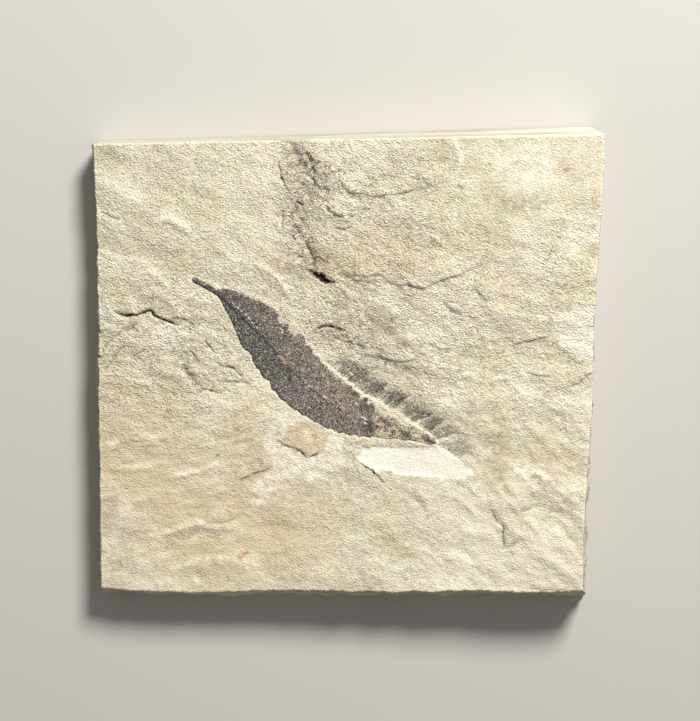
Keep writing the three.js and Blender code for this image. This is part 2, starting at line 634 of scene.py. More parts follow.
class Paint:
    """A material that is built up in layers, each laid over the last by a cover from 0 to 1."""

    lump_roughness = 0.7
    stone_ior = 1.5

    def __init__(self, name: str, ground: str, masks: tuple[str, ...]) -> None:
        """Starts a material.

        Args:
            name: The real material.
            ground: The sRGB hex colour of the first layer.
            masks: Names of the mesh's own attributes that it reads.
        """
        self.material = bpy.data.materials.new(name)
        self.material.use_nodes = True
        self.tree = self.material.node_tree
        self.tree.nodes.clear()
        self.place = add_node(self.tree, "TexCoord", output="Object")
        self.colour = add_node(self.tree, "RGB")
        self.colour.default_value = hex_to_linear(ground)
        self.masks = {
            mask: add_node(self.tree, "Attribute", output="Fac", attribute_name=mask) for mask in masks
        }

    def draw(self, pattern: Pattern) -> Socket:
        """Draws a pattern on the piece's own places, turned, drawn out, and scaled to its size.

        Args:
            pattern: What to draw.

        Returns:
            Its level at each place, from 0 to 1.
        """
        turned = {
            "Vector": self.place,
            "Rotation": (0.0, 0.0, math.radians(pattern.turn)),
            "Scale": pattern.stretch,
        }
        kind, output = pattern.texture.value
        inputs = {
            "Vector": add_node(self.tree, "Mapping", turned, vector_type="TEXTURE"),
            "Scale": 1.0 / (pattern.size * METRES_PER_MM),
        }
        if pattern.texture is Texture.LUMPS:
            inputs |= {"Detail": pattern.detail, "Roughness": self.lump_roughness}
        return add_node(self.tree, kind, inputs, output)

    def stepped(self, level: Socket, steps: float, edge_start: float = 0.7) -> Socket:
        """Cuts a pattern into flat steps, whose edges wander like contour lines.

        With c as the level times the number of steps, it is (floor of c + edge) / steps, where the edge
        climbs from 0 to 1 over the last part of each step.

        Args:
            level: The pattern's level.
            steps: How many steps it has from 0 to 1.
            edge_start: The part of each step after which its edge climbs.

        Returns:
            The stepped level.
        """
        climb = add_node(self.tree, "Math", {0: level, 1: steps}, operation="MULTIPLY")
        whole = add_node(self.tree, "Math", {0: climb}, operation="FLOOR")
        part = add_node(self.tree, "Math", {0: climb}, operation="FRACT")
        edge = self.cover(part, Cover(edge_start, 1.0))
        total = add_node(self.tree, "Math", {0: whole, 1: edge}, operation="ADD")
        return add_node(self.tree, "Math", {0: total, 1: steps}, operation="DIVIDE")

    def cover(self, level: Socket, cover: Cover, within: Socket | None = None) -> Socket:
        """Turns a pattern's level to a cover.

        Args:
            level: The pattern's level.
            cover: Where along it the layer shows.
            within: A mask that the cover is multiplied by, if any.

        Returns:
            The cover, from 0 to 1.
        """
        ends = {"Value": level, "From Min": cover.low, "From Max": cover.high, "To Max": cover.most}
        shown = add_node(self.tree, "MapRange", ends, clamp=True)
        if within is None:
            return shown
        return add_node(self.tree, "Math", {0: shown, 1: within}, operation="MULTIPLY")

    def layer(self, cover: Socket, code: str) -> None:
        """Lays an sRGB hex colour over what is there."""
        sockets = {Mix.FACTOR.value: cover, Mix.A.value: self.colour, Mix.B.value: hex_to_linear(code)}
        self.colour = add_node(self.tree, "Mix", sockets, Mix.RESULT.value, data_type="RGBA")

    def finish(
        self, grain: Socket, bump_height: float, roughness: float, specular: float,
    ) -> bpy.types.Material:
        """Adds the finest grain as a bump, and the shader.

        Args:
            grain: The grain's height, from 0 to 1.
            bump_height: Its full height in mm, of which the mesh's speckle attribute says how much shows.
            roughness: The surface's roughness.
            specular: How much of the usual gloss of stone is left.

        Returns:
            The material.
        """
        normal = add_node(self.tree, "Bump", {
            "Height": grain,
            "Strength": self.masks["speckle"],
            "Distance": bump_height * METRES_PER_MM,
        })
        surface = add_node(self.tree, "BsdfPrincipled", {
            "Base Color": self.colour,
            "Roughness": roughness,
            "IOR": self.stone_ior,
            "Specular IOR Level": specular,
            "Normal": normal,
        })
        add_node(self.tree, "OutputMaterial", {"Surface": surface})
        return self.material


@dataclass(frozen=True)
class Limestone:
    """Split lake limestone: chalky, dead matt and granular, so low light shows each grain and none shines.

    Colours are sRGB hex values. Real grains of this stone are well under 0.1 mm, too fine to show, so
    grains, crumbs and bump are drawn 0.32 to 0.42 mm wide, as coarse as they need to be to show. The
    scratches of the tool, drawn 0.5 mm wide, are too.
    """

    name: str = "split_lake_limestone"
    cream: str = "DFD9C3"
    tan: str = "CABFA4"
    lamina: str = "A79D86"
    pale_grain: str = "FBF9EE"
    dark_grain: str = "6F634C"
    scraped: str = "F0EFE3"
    dust: str = "F3F1E2"
    grey: str = "85847B"
    worked_and_shaded: str = "5D605E"
    sawn: str = "C3C4BC"
    tints: dict[Tint, str] = field(default_factory=lambda: {
        Tint.OCHRE: "BFA373",
        Tint.SHADE: "A99F86",
        Tint.CHALK_AND_HIGHLIGHT: "F2EDDB",
        Tint.RUST: "A5744A",
        Tint.SOIL_AND_SHADOW: "3A2C22",
    })

    clouds: Pattern = Pattern(16.0, detail=4.0)
    falling: Pattern = Pattern(2.6, turn=-21.0, stretch=(1.3, 1.0, 1.0))
    rising: Pattern = Pattern(2.6, turn=4.0, stretch=(1.5, 1.0, 1.0))
    bump_size: float = 0.42
    laminae: Pattern = Pattern(2.4, detail=4.0, stretch=(50 / 3, 50 / 3, 1.0))
    torn: Pattern = Pattern(1.1, detail=3.0, turn=-50.0, stretch=(1.8, 1.0, 1.0))
    strokes: Pattern = Pattern(0.5, turn=34.0, stretch=(9.0, 1.0, 9.0))
    grains: Pattern = Pattern(0.32, Texture.GRAINS, turn=-21.0, stretch=(1.3, 1.0, 1.0))
    crumbs: Pattern = Pattern(0.42, Texture.CRUMBS)
    flakes: Pattern = Pattern(4.2, detail=4.0, turn=-21.0, stretch=(1.3, 1.0, 1.0))
    uneven: Pattern = Pattern(0.9, detail=3.0)

    cloud_cover: Cover = Cover(0.4, 0.66, 0.8)
    mottle_cover: Cover = Cover(0.5, 0.75, 0.5)
    lamina_cover: Cover = Cover(0.42, 0.62)
    torn_cover: Cover = Cover(0.4, 0.56)
    stroke_cover: Cover = Cover(0.26, 0.62)
    patch_cover: Cover = Cover(0.7, 0.95, 0.9)
    dark_cover: Cover = Cover(0.36, 0.1, 0.5)
    pale_cover: Cover = Cover(0.64, 0.92, 0.55)
    dust_cover: Cover = Cover(0.62, 0.95, 0.6)
    line_cover: Cover = Cover(2.5, 1.9)

    patch_fray: float = 1.6
    dust_fray: float = 0.9
    line_fray: float = 3.0
    crumb_share: float = 0.25
    flake_steps: float = 7.0
    stroke_bump: float = 1.5
    bump_height: float = 0.66
    roughness: float = 0.95
    specular: float = 0.2

    def material(self) -> bpy.types.Material:
        """Builds the stone up in layers.

        Clouds and mottles of tan lie on cream, with a cool tone on the sawn side and laminae on every side.
        Torn grey stone, partly painted shade, the tool's strokes, with painted shade in the trench, and the
        scraped patch come next, then dark and pale grains, stains, with painted highlight among the chalk,
        dust, and lines of soil and painted shadow. The bump adds grain, crumbs and stepped flakes, and
        strokes where the tool went.

        Returns:
            The material.
        """
        paint = Paint(self.name, self.cream, (
            *(tint.value for tint in Tint), "sawn", "side", "worked_and_shaded", "patch_depth", "speckle", "line_away",
            "line_soil_and_shadow", "chips", "rising",
        ))
        tree, masks = paint.tree, paint.masks
        uneven, strokes, grains = (paint.draw(way) for way in (self.uneven, self.strokes, self.grains))

        def grained(size: float) -> Socket:
            """Lumps that follow whichever grain the face has at a place."""
            first, second = (paint.draw(replace(way, size=size)) for way in (self.falling, self.rising))
            ends = {"Value": masks["rising"], "To Min": first, "To Max": second}
            return add_node(tree, "MapRange", ends, clamp=True)

        def frayed(level: Socket, share: float) -> Socket:
            """A level with a share of fine noise added, so that its edge comes out uneven."""
            return add_node(tree, "Math", {0: uneven, 1: share, 2: level}, operation="MULTIPLY_ADD")

        paint.layer(paint.cover(paint.draw(self.clouds), self.cloud_cover), self.tan)
        paint.layer(paint.cover(grained(self.falling.size), self.mottle_cover), self.tan)
        paint.layer(masks["sawn"], self.sawn)
        paint.layer(paint.cover(paint.draw(self.laminae), self.lamina_cover, masks["side"]), self.lamina)
        # Torn grey stone, partly painted shade in the valley, grooves and cracks
        paint.layer(paint.cover(paint.draw(self.torn), self.torn_cover, masks[Tint.GREY_AND_SHADE.value]), self.grey)
        # The trench's grey of worked stone and painted shade, streaked by the tool's strokes
        paint.layer(paint.cover(strokes, self.stroke_cover, masks["worked_and_shaded"]), self.worked_and_shaded)
        patch = frayed(masks["patch_depth"], self.patch_fray)
        paint.layer(paint.cover(patch, self.patch_cover), self.scraped)
        paint.layer(paint.cover(grains, self.dark_cover, masks["speckle"]), self.dark_grain)
        paint.layer(paint.cover(grains, self.pale_cover, masks["speckle"]), self.pale_grain)
        # Stains, with chalk partly a painted highlight and soil partly painted shadow
        for tint, code in self.tints.items():
            paint.layer(masks[tint.value], code)
        dusty = frayed(masks[Tint.DUST.value], self.dust_fray)
        paint.layer(paint.cover(dusty, self.dust_cover), self.dust)
        # Lines of soil and painted shadow at the feet of lips, in grooves and in the hole
        away = add_node(tree, "Math", {0: masks["line_away"]}, operation="ABSOLUTE")
        line = paint.cover(frayed(away, self.line_fray), self.line_cover, masks["line_soil_and_shadow"])
        paint.layer(line, self.tints[Tint.SOIL_AND_SHADOW])

        bump = add_node(tree, "MapRange", {
            "Value": self.crumb_share,
            "To Min": grained(self.bump_size),
            "To Max": paint.draw(self.crumbs),
        }, clamp=True)
        flakes = paint.stepped(paint.draw(self.flakes), self.flake_steps)
        scored = add_node(tree, "Math", {0: masks["worked_and_shaded"], 1: self.stroke_bump}, operation="MULTIPLY")
        for relief, share in ((flakes, masks["chips"]), (strokes, scored)):
            bump = add_node(tree, "Math", {0: relief, 1: share, 2: bump}, operation="MULTIPLY_ADD")
        return paint.finish(bump, self.bump_height, self.roughness, self.specular)


@dataclass(frozen=True)
class CarbonFilm:
    """The leaf's carbon film: brown-black, dry and speckled where pale grains of stone show through it.

    Colours are sRGB hex values. The film's real grains are too fine to show, so they are drawn 0.18 mm wide
    and its bump 0.34 mm wide, as coarse as they need to be to show.
    """

    name: str = "carbonised_leaf_film"
    shaded_half: str = "5C5957"
    lit_half: str = "797069"
    thin: str = "968A7E"
    vein: str = "2A2829"
    blue: str = "6E7279"
    worn: str = "DFCFAC"
    streak: str = "ADADA9"
    tan_chip: str = "C2A986"
    pale_grain: str = "DCD3C6"
    dark_grain: str = "161515"
    mottles: Pattern = Pattern(2.2)
    grains: Pattern = Pattern(0.18, Texture.GRAINS, turn=-60.0, stretch=(1.3, 1.0, 1.0))
    bump: Pattern = Pattern(0.34, turn=-60.0, stretch=(1.3, 1.0, 1.0))
    mottle_cover: Cover = Cover(0.5, 0.75, 0.3)
    dark_cover: Cover = Cover(0.45, 0.24, 0.9)
    pale_cover: Cover = Cover(0.66, 0.92, 0.8)
    bump_height: float = 0.24
    roughness: float = 0.75
    specular: float = 0.35

    def material(self) -> bpy.types.Material:
        """Builds two halves, thin, bluish and worn places, grains, veins, a streak and chips, in that order.

        Returns:
            The material.
        """
        names = ("lit_half", "thin", "blue", "worn", "vein", "streak", "chip", "tan_chip", "speckle")
        paint = Paint(self.name, self.shaded_half, names)
        masks, grains = paint.masks, paint.draw(self.grains)
        for cover, code in (
            (masks["lit_half"], self.lit_half),
            (masks["thin"], self.thin),
            (paint.cover(paint.draw(self.mottles), self.mottle_cover), self.vein),
            (masks["blue"], self.blue),
            (masks["worn"], self.worn),
            (paint.cover(grains, self.dark_cover), self.dark_grain),
            (paint.cover(grains, self.pale_cover), self.pale_grain),
            (masks["vein"], self.vein),
            (masks["streak"], self.streak),
            (masks["chip"], self.pale_grain),
            (masks["tan_chip"], self.tan_chip),
        ):
            paint.layer(cover, code)
        return paint.finish(paint.draw(self.bump), self.bump_height, self.roughness, self.specular)


def make_piece(
    name: str, corners_mm: Grid, faces: list[list[int]], covers: dict[str, Grid]
) -> bpy.types.Object:
    """Makes a mesh object at the origin, smooth shaded, with one float attribute for each cover.

    Args:
        name: The piece's name.
        corners_mm: Vertex places in mm, one row each.
        faces: Vertex numbers of each face, counter-clockwise from outside.
        covers: Attribute name to a value for each vertex.

    Returns:
        The object, linked to the scene.
    """
    mesh = bpy.data.meshes.new(name)
    mesh.from_pydata((corners_mm * METRES_PER_MM).tolist(), [], faces)
    mesh.polygons.foreach_set("use_smooth", np.ones(len(mesh.polygons), dtype=bool))
    for cover, values in covers.items():
        layer = mesh.attributes.new(cover, "FLOAT", "POINT")
        layer.data.foreach_set("value", values.astype(np.float32))
    mesh.update()
    piece = bpy.data.objects.new(name, mesh)
    bpy.context.scene.collection.objects.link(piece)
    return piece


def grid_faces(numbers: NDArray[np.int64]) -> NDArray[np.int64]:
    """Four-sided faces between the rows and columns of a grid of vertex numbers.

    Args:
        numbers: Vertex numbers, with rows that climb as seen from outside and columns that run right.

    Returns:
        One row of four numbers for each face.
    """
    return np.stack(
        [numbers[:-1, :-1], numbers[:-1, 1:], numbers[1:, 1:], numbers[1:, :-1]], axis=-1
    ).reshape(-1, 4)


@dataclass(frozen=True)
class PlateEdge:
    """One side of the plate.

    Attributes:
        wander: How far it strays outwards, in mm, at even steps between its corners.
        ragged: Height of its fine chips in mm.
        relief: Height of the steps and hollows down its broken side in mm.
    """

    wander: tuple[float, ...]
    ragged: float
    relief: float


LEFT_CRACK = trace(
    (-58.2, 15.6), (-56.7, 14.4), (-54.5, 13.9), (-51.5, 14.4), (-49.0, 15.2), (-48.0, 14.2), (-47.0, 13.4),
    (-45.3, 12.9), (-43.5, 12.2), (-42.0, 11.7), (-40.8, 12.4),
)
RIGHT_CRACK = trace(
    (35.9, -33.9), (36.6, -36.0), (37.4, -37.5), (38.7, -38.3), (39.2, -39.5), (38.9, -41.9), (39.5, -44.2),
    (41.0, -45.5),
)
VALLEY = trace(
    (-15.0, 66.0), (-12.8, 57.5), (-10.6, 52.5), (-9.2, 47.5), (-10.6, 43.0), (-11.7, 38.0), (-11.0, 33.0),
    (-9.4, 29.5), (-7.2, 26.4),
)
VALLEY_HEAD = trace((-12.8, 57.5), (-11.9, 52.7), (-10.4, 49.8), (-8.7, 47.3), (-6.9, 45.6))
VALLEY_FOOT = trace((-12.6, 42.2), (-13.1, 39.2), (-12.4, 36.0), (-11.9, 33.0), (-10.2, 30.6), (-8.4, 27.0))
UNDERCUT = trace(
    (-10.4, 25.8), (-8.8, 25.5), (-7.8, 24.9), (-7.0, 24.3), (-6.5, 24.9), (-6.1, 24.4), (-5.1, 24.1),
    (-5.6, 23.5), (-4.3, 22.9), (-1.7, 22.7), (-3.6, 22.3), (-5.1, 22.1), (-6.3, 22.5), (-7.3, 23.3),
    (-8.0, 23.9), (-8.6, 24.9),
)
BED_EDGE = trace(
    (-3.9, 27.0), (-1.3, 26.0), (0.4, 24.7), (2.3, 24.7), (4.6, 24.2), (7.6, 24.7), (9.3, 23.7),
    (10.6, 22.6), (12.6, 22.1), (14.9, 22.3), (18.2, 21.3), (20.5, 22.3), (23.4, 23.5), (27.0, 24.5),
    (29.6, 25.8), (34.0, 28.0),
)
BED_STEP = trace(
    (-2.1, 50.0), (-1.8, 48.1), (-1.1, 46.8), (-0.1, 45.6), (1.0, 44.8), (4.0, 44.7), (5.3, 44.2),
    (6.9, 43.9), (8.5, 44.2), (12.5, 44.7), (16.0, 45.5), (20.0, 46.2),
)
LENS = trace((-8.0, 11.0), (-6.3, 11.5), (-4.6, 11.6), (-2.4, 11.0), (-0.1, 10.7))
FLAKE_EDGE = trace(
    (-17.8, -16.9), (-15.6, -18.5), (-13.1, -19.0), (-11.6, -20.0), (-9.9, -21.5), (-8.1, -20.7),
    (-5.4, -19.8),
)
FLAKE = trace(
    (-16.1, -17.2), (-15.1, -14.2), (-11.9, -12.4), (-7.4, -13.1), (-4.4, -15.6), (-6.4, -20.2),
    (-9.9, -21.3),
)
SCRAPED_PATCH = trace(
    (3.9, -18.7), (12.8, -18.7), (22.5, -18.8), (24.6, -19.4), (26.4, -21.0), (28.9, -22.4), (31.6, -24.0),
    (31.6, -25.3), (29.0, -26.6), (27.3, -27.0), (21.6, -26.3), (11.8, -25.8), (11.1, -24.4), (8.8, -24.5),
    (7.6, -25.0), (5.6, -23.6), (3.8, -23.0), (2.6, -21.0),
)
DUSTY_SCRAPE = trace(
    (-19.4, -11.8), (-13.9, -9.6), (-4.6, -15.5), (-1.2, -16.3), (-0.3, -23.4), (-7.1, -26.4),
    (-9.2, -28.1), (-12.2, -26.8), (-16.9, -28.1), (-20.7, -33.7), (-24.9, -35.4), (-23.7, -32.0),
    (-25.3, -29.8), (-18.6, -24.2), (-21.3, -18.2),
)
SHARD = trace(
    (-47.5, 12.4), (-40.6, 11.7), (-39.1, 9.4), (-41.6, 7.4), (-44.6, 4.9), (-47.9, 6.1), (-49.1, 9.1),
)
PALE_CORNER = trace(
    (32.0, 52.9), (35.4, 56.3), (41.9, 58.0), (48.0, 58.0), (53.3, 56.3), (51.7, 50.5), (49.3, 46.6),
    (45.7, 45.1), (41.9, 43.2), (37.7, 46.5),
)
PALE_MARGIN = trace((53.1, 39.5), (62.5, 42.0), (62.0, 33.4), (55.7, 27.9), (51.5, 30.9))
PALE_SIDE = trace(
    (50.3, 14.0), (54.7, 16.5), (61.6, 17.1), (62.2, 6.4), (59.8, 3.1), (54.9, 5.0), (51.4, 8.5),
)

# Stains that follow a line, the grey partly painted shade: for each colour the width of the soft edge in mm,
# the cover and the line.
LINE_STAINS: dict[Tint, tuple[tuple[float, float, Trace], ...]] = {
    Tint.CHALK_AND_HIGHLIGHT: (
        (5.0, 0.6, trace((8.0, 19.0), (16.0, 16.0), (28.0, 13.0))),
        (5.0, 0.5, trace((4.0, -47.0), (18.0, -52.0), (28.0, -53.0))),
        (6.0, 0.4, trace((-24.0, 55.0), (-21.0, 40.0))),
        (1.0, 0.7, trace((41.8, 31.6), (44.2, 29.6), (45.7, 27.1))),
        (1.8, 0.45, trace((20.8, 22.1), (24.0, 15.9), (26.5, 12.1))),
        (1.4, 0.5, trace((-30.3, -8.2), (-25.8, -7.6))),
        (2.0, 0.6, trace((30.6, -34.2), (31.7, -40.4))),
        (0.7, 1.0, trace((-10.5, -15.2), (-9.7, -16.6))),
        (11.0, 0.42, trace((26.0, -36.0), (40.0, -48.0), (56.0, -50.0))),
        (3.0, 0.7, trace((0.6, 56.1), (4.3, 55.9), (9.1, 55.9))),
        (2.5, 0.6, trace((43.2, -2.8), (47.1, -3.5))),
        (3.0, 0.95, trace((43.0, -24.4), (48.0, -26.9))),
        (2.0, 0.8, trace((24.7, -7.5), (28.4, -6.2))),
    ),
    Tint.GREY_AND_SHADE: (
        (3.0, 0.95, VALLEY_HEAD),
        (2.9, 0.85, VALLEY_FOOT),
        (2.4, 1.0, trace((-14.2, 57.0), (-13.0, 53.5), (-12.0, 51.0))),
        (2.0, 0.5, trace((-7.0, 10.5), (0.0, 9.3), (4.0, 5.8))),
        (1.6, 0.45, trace((3.0, 3.0), (8.0, 2.4), (14.0, 1.8))),
        (1.6, 0.55, trace((-37.2, -2.4), (-36.3, -4.7))),
        (1.4, 0.45, trace((-37.6, -8.5), (-33.8, -9.5))),
        (1.2, 0.5, trace((-45.1, 6.4), (-41.6, 7.9))),
        (1.2, 0.4, trace((-46.2, -17.2), (-45.2, -19.0))),
        (2.2, 0.35, trace((26.0, 15.0), (28.2, 13.4), (32.7, 10.9))),
    ),
    Tint.OCHRE: (
        (1.9, 0.5, trace((-8.3, 30.5), (-6.5, 29.0), (-4.8, 27.2))),
        (4.5, 0.35, trace((-27.0, -10.0), (-25.0, -25.0))),
        (6.0, 0.3, trace((-12.0, -30.0), (-8.0, -36.0), (-16.0, -52.0))),
        (2.0, 0.35, trace((-46.2, 32.6), (-41.3, 31.2), (-36.4, 29.9), (-30.9, 30.5))),
        (4.5, 0.3, trace((34.5, -18.8), (40.9, -21.3), (48.4, -23.8))),
        (3.5, 0.25, trace((37.5, 24.0), (40.0, 17.5))),
        (9.0, 0.22, trace((6.0, 32.0), (14.0, 30.0))),
        (16.0, 0.5, trace((-55.0, -20.0), (-40.0, -38.0), (-20.0, -40.0))),
        (1.6, 0.35, trace((-20.0, 27.6), (-15.0, 26.4))),
    ),
    Tint.RUST: (
        (0.5, 0.95, trace((-8.4, -16.0), (-7.8, -16.8))),
        (0.5, 0.95, trace((-27.4, -47.5), (-26.4, -46.7), (-25.1, -46.2))),
        (0.55, 0.55, trace((-49.2, 1.8), (-49.2, 0.8))),
        (0.5, 0.95, trace((-44.8, -10.1), (-43.8, -9.8))),
        (0.4, 0.7, trace((-39.2, 18.2), (-38.5, 18.2))),
        (0.5, 0.95, trace((-18.0, 28.3), (-16.6, 28.6))),
    ),
    Tint.SHADE: (
        (5.4, 0.42, trace((23.1, 40.1), (27.5, 38.2), (31.9, 36.2))),
        (1.5, 0.5, trace((20.8, 58.2), (25.4, 58.2), (30.7, 58.2))),
        (4.0, 0.4, trace((-28.1, -15.3), (-24.4, -17.3), (-21.4, -18.8))),
        (5.0, 0.5, trace((-60.0, -38.1), (-57.6, -51.2))),
        (4.0, 0.4, trace((20.7, -41.3), (26.2, -42.5))),
        (2.8, 0.6, trace((-15.4, 27.1), (-11.5, 26.8), (-5.0, 27.0))),
        (4.0, 0.65, trace((37.0, -17.0), (38.2, -26.5))),
        (3.0, 0.4, trace((-11.0, -30.0), (0.0, -28.5))),
        (3.5, 0.35, trace((24.0, 53.5), (29.5, 52.5))),
        (2.2, 0.7, trace((-14.2, 57.0), (-13.0, 53.5), (-12.0, 51.0))),
        (4.5, 0.75, trace((9.5, 12.0), (16.0, 4.5))),
        (3.2, 0.75, trace((38.0, 42.0), (46.5, 42.0))),
    ),
    Tint.SOIL_AND_SHADOW: (
        (1.0, 0.6, trace((-11.8, 52.1), (-10.5, 51.3))),
        (0.9, 0.35, trace((-13.7, 56.9), (-12.3, 55.6))),
        (0.45, 0.8, trace((34.4, 51.9), (34.8, 51.7))),
        (0.45, 0.7, trace((33.6, 44.3), (34.0, 43.9))),
        (0.45, 0.7, trace((54.6, 47.1), (55.0, 47.1))),
        (0.4, 0.6, trace((53.2, 50.4), (53.6, 50.6))),
    ),
}


@dataclass(frozen=True)
class Trench:
    """The trench that was scraped beside the leaf's upper margin, in mm along and across the leaf's chord.

    A cream crest stands by the margin; its chalk is partly a painted highlight on the lit crest. Beyond it
    the stone drops sharply and then climbs back to the face. Strokes of the tool left scoops side by side:
    each deepens along the leaf and darkens with grey of worked stone and painted shade, up to the sharp
    start of the next, and fine scratches run the way of the strokes. Chalk and a painted highlight mark
    the first cut of the later strokes.

    Attributes:
        near: Points of its near edge.
        far: Points of its far edge.
        scoops: Where each stroke starts, at either end of its sweep.
        sweep: Places across the chord of those two ends.
        begins: Where it fades in, along the chord.
        ends: Where it fades out.
        crest_begins: Where the crest fades in.
        crest_ends: Where the crest fades out.
        shallows: Where its far end becomes shallow.
        pale_strokes: The strokes, counted from the first, over which its grey, partly painted shade, turns
            paler.
        cut_strokes: The strokes over which chalk and a painted highlight at each first cut start to show.
        shoulder: How far the drop starts inside the near edge.
        drop: Distance over which the stone drops.
        depth: Its depth at the start of a stroke.
        deepening: How much deeper a stroke ends.
        scratch_depth: Depth of the scratches.
        crest_height: Height of the crest.
    """

    near: tuple[Point, ...] = (
        (30.0, 1.6), (35.7, 1.3), (40.5, 0.9), (44.0, 0.3), (45.7, 0.9), (49.2, 1.5), (51.6, 1.0),
        (52.8, 1.9), (57.3, 1.6), (61.4, 1.4), (65.3, 0.4), (70.0, 0.2), (76.0, 1.0),
    )
    far: tuple[Point, ...] = (
        (34.0, 5.4), (36.6, 6.2), (40.5, 6.8), (46.6, 6.4), (51.0, 6.8), (60.6, 6.8), (64.0, 7.2),
        (68.0, 7.4), (73.8, 5.8), (77.0, 3.6),
    )
    scoops: tuple[Point, ...] = (
        (33.0, 35.0), (41.0, 43.2), (47.2, 47.6), (53.0, 53.4), (58.6, 61.5), (63.0, 64.4), (66.0, 70.2),
        (74.0, 78.0),
    )
    sweep: Span = (1.0, 6.5)
    begins: Span = (31.5, 36.5)
    ends: Span = (70.0, 79.5)
    crest_begins: Span = (14.0, 32.0)
    crest_ends: Span = (66.0, 70.0)
    shallows: Span = (63.0, 69.0)
    pale_strokes: Span = (4.6, 6.0)
    cut_strokes: Span = (3.4, 4.4)
    shoulder: float = 1.0
    drop: float = 0.6
    depth: float = 0.55
    deepening: float = 0.75
    scratch_depth: float = 0.22
    crest_height: float = 0.22

    def stroke(self, along: Grid, across: Grid) -> Grid:
        """Counts the strokes before each place, with the part of the stroke there that lies behind it.

        Args:
            along: Places along the chord.
            across: Places across it.

        Returns:
            Strokes, counted from the first.
        """
        shaken = along + 0.3 * gradient_noise(along / 1.6, across / 1.6, 74)
        starts = np.asarray(self.scoops)
        level = (across[..., None] - self.sweep[0]) / (self.sweep[1] - self.sweep[0])
        start = starts[:, 0] + (starts[:, 1] - starts[:, 0]) * level
        span = np.diff(start, axis=-1)
        return np.clip((shaken[..., None] - start[..., :-1]) / span, 0.0, 1.0).sum(axis=-1)

    def at(self, along: Grid, across: Grid) -> tuple[Grid, Grid, Grid]:
        """Reads the trench at places on the face.

        Its depth is (depth + deepening * part of the stroke - scratches), within a hollow that starts at the
        shoulder and closes towards the far edge. Its grey, worked stone and painted shade, darkens with the
        same part of the stroke.

        Args:
            along: Places along the leaf's chord.
            across: Places across it.

        Returns:
            Heights in mm, the cover of grey, worked stone and painted shade, and that of chalk and a painted
            highlight on the crest and on first cuts.
        """
        near, far = np.asarray(self.near), np.asarray(self.far)
        crest = np.interp(along, near[:, 0], near[:, 1])
        gap = across - crest + self.shoulder - 0.25 * gradient_noise(along / 1.3, along / 9.0, 73)
        share = gap / (np.interp(along, far[:, 0], far[:, 1]) - crest)
        reach = smooth_step(*self.begins, along) * (1 - smooth_step(*self.ends, along))
        order = self.stroke(along, across)
        part = order - np.floor(order)
        scratch = gradient_noise(order * 5.0, share * 1.4, 71)

        dropped = smooth_step(0.0, self.drop, gap)
        hollow = dropped * (1 - smooth_step(0.2, 1.05, share)) * reach
        shaded = dropped * (1 - smooth_step(0.7, 1.25, share)) * reach
        paler = 1 - 0.35 * smooth_step(*self.pale_strokes, order)
        # Grey of worked stone and painted shade, darkest where each scoop turns most from the key light
        grey = shaded * (0.4 + 0.9 * part * (1 - 0.4 * share) + 0.35 * scratch) * paler
        first_cut = np.exp(-(((part - 0.1) / 0.12) ** 2)) * shaded * smooth_step(*self.cut_strokes, order)

        crest_reach = smooth_step(*self.crest_begins, along) * (1 - smooth_step(*self.crest_ends, along))
        uneven = 0.8 + 0.6 * gradient_noise(along / 1.3, gap / 0.8, 72)
        ridge = np.exp(-(((gap + 0.35) / 0.34) ** 2)) * crest_reach * uneven
        # Chalk on the crest and on first cuts, partly a painted highlight where they face the key light
        dust_and_highlight = 0.5 * np.exp(-(((gap + 0.4) / 0.4) ** 2)) * crest_reach * uneven
        dust_and_highlight = np.maximum(dust_and_highlight, 0.65 * first_cut)
        depth = self.depth + self.deepening * part - self.scratch_depth * scratch
        depth = depth * (1 - 0.6 * smooth_step(*self.shallows, along))
        height = self.crest_height * ridge - depth * hollow
        return height, np.clip(grey, 0.0, 0.95), np.clip(dust_and_highlight, 0.0, 0.9)


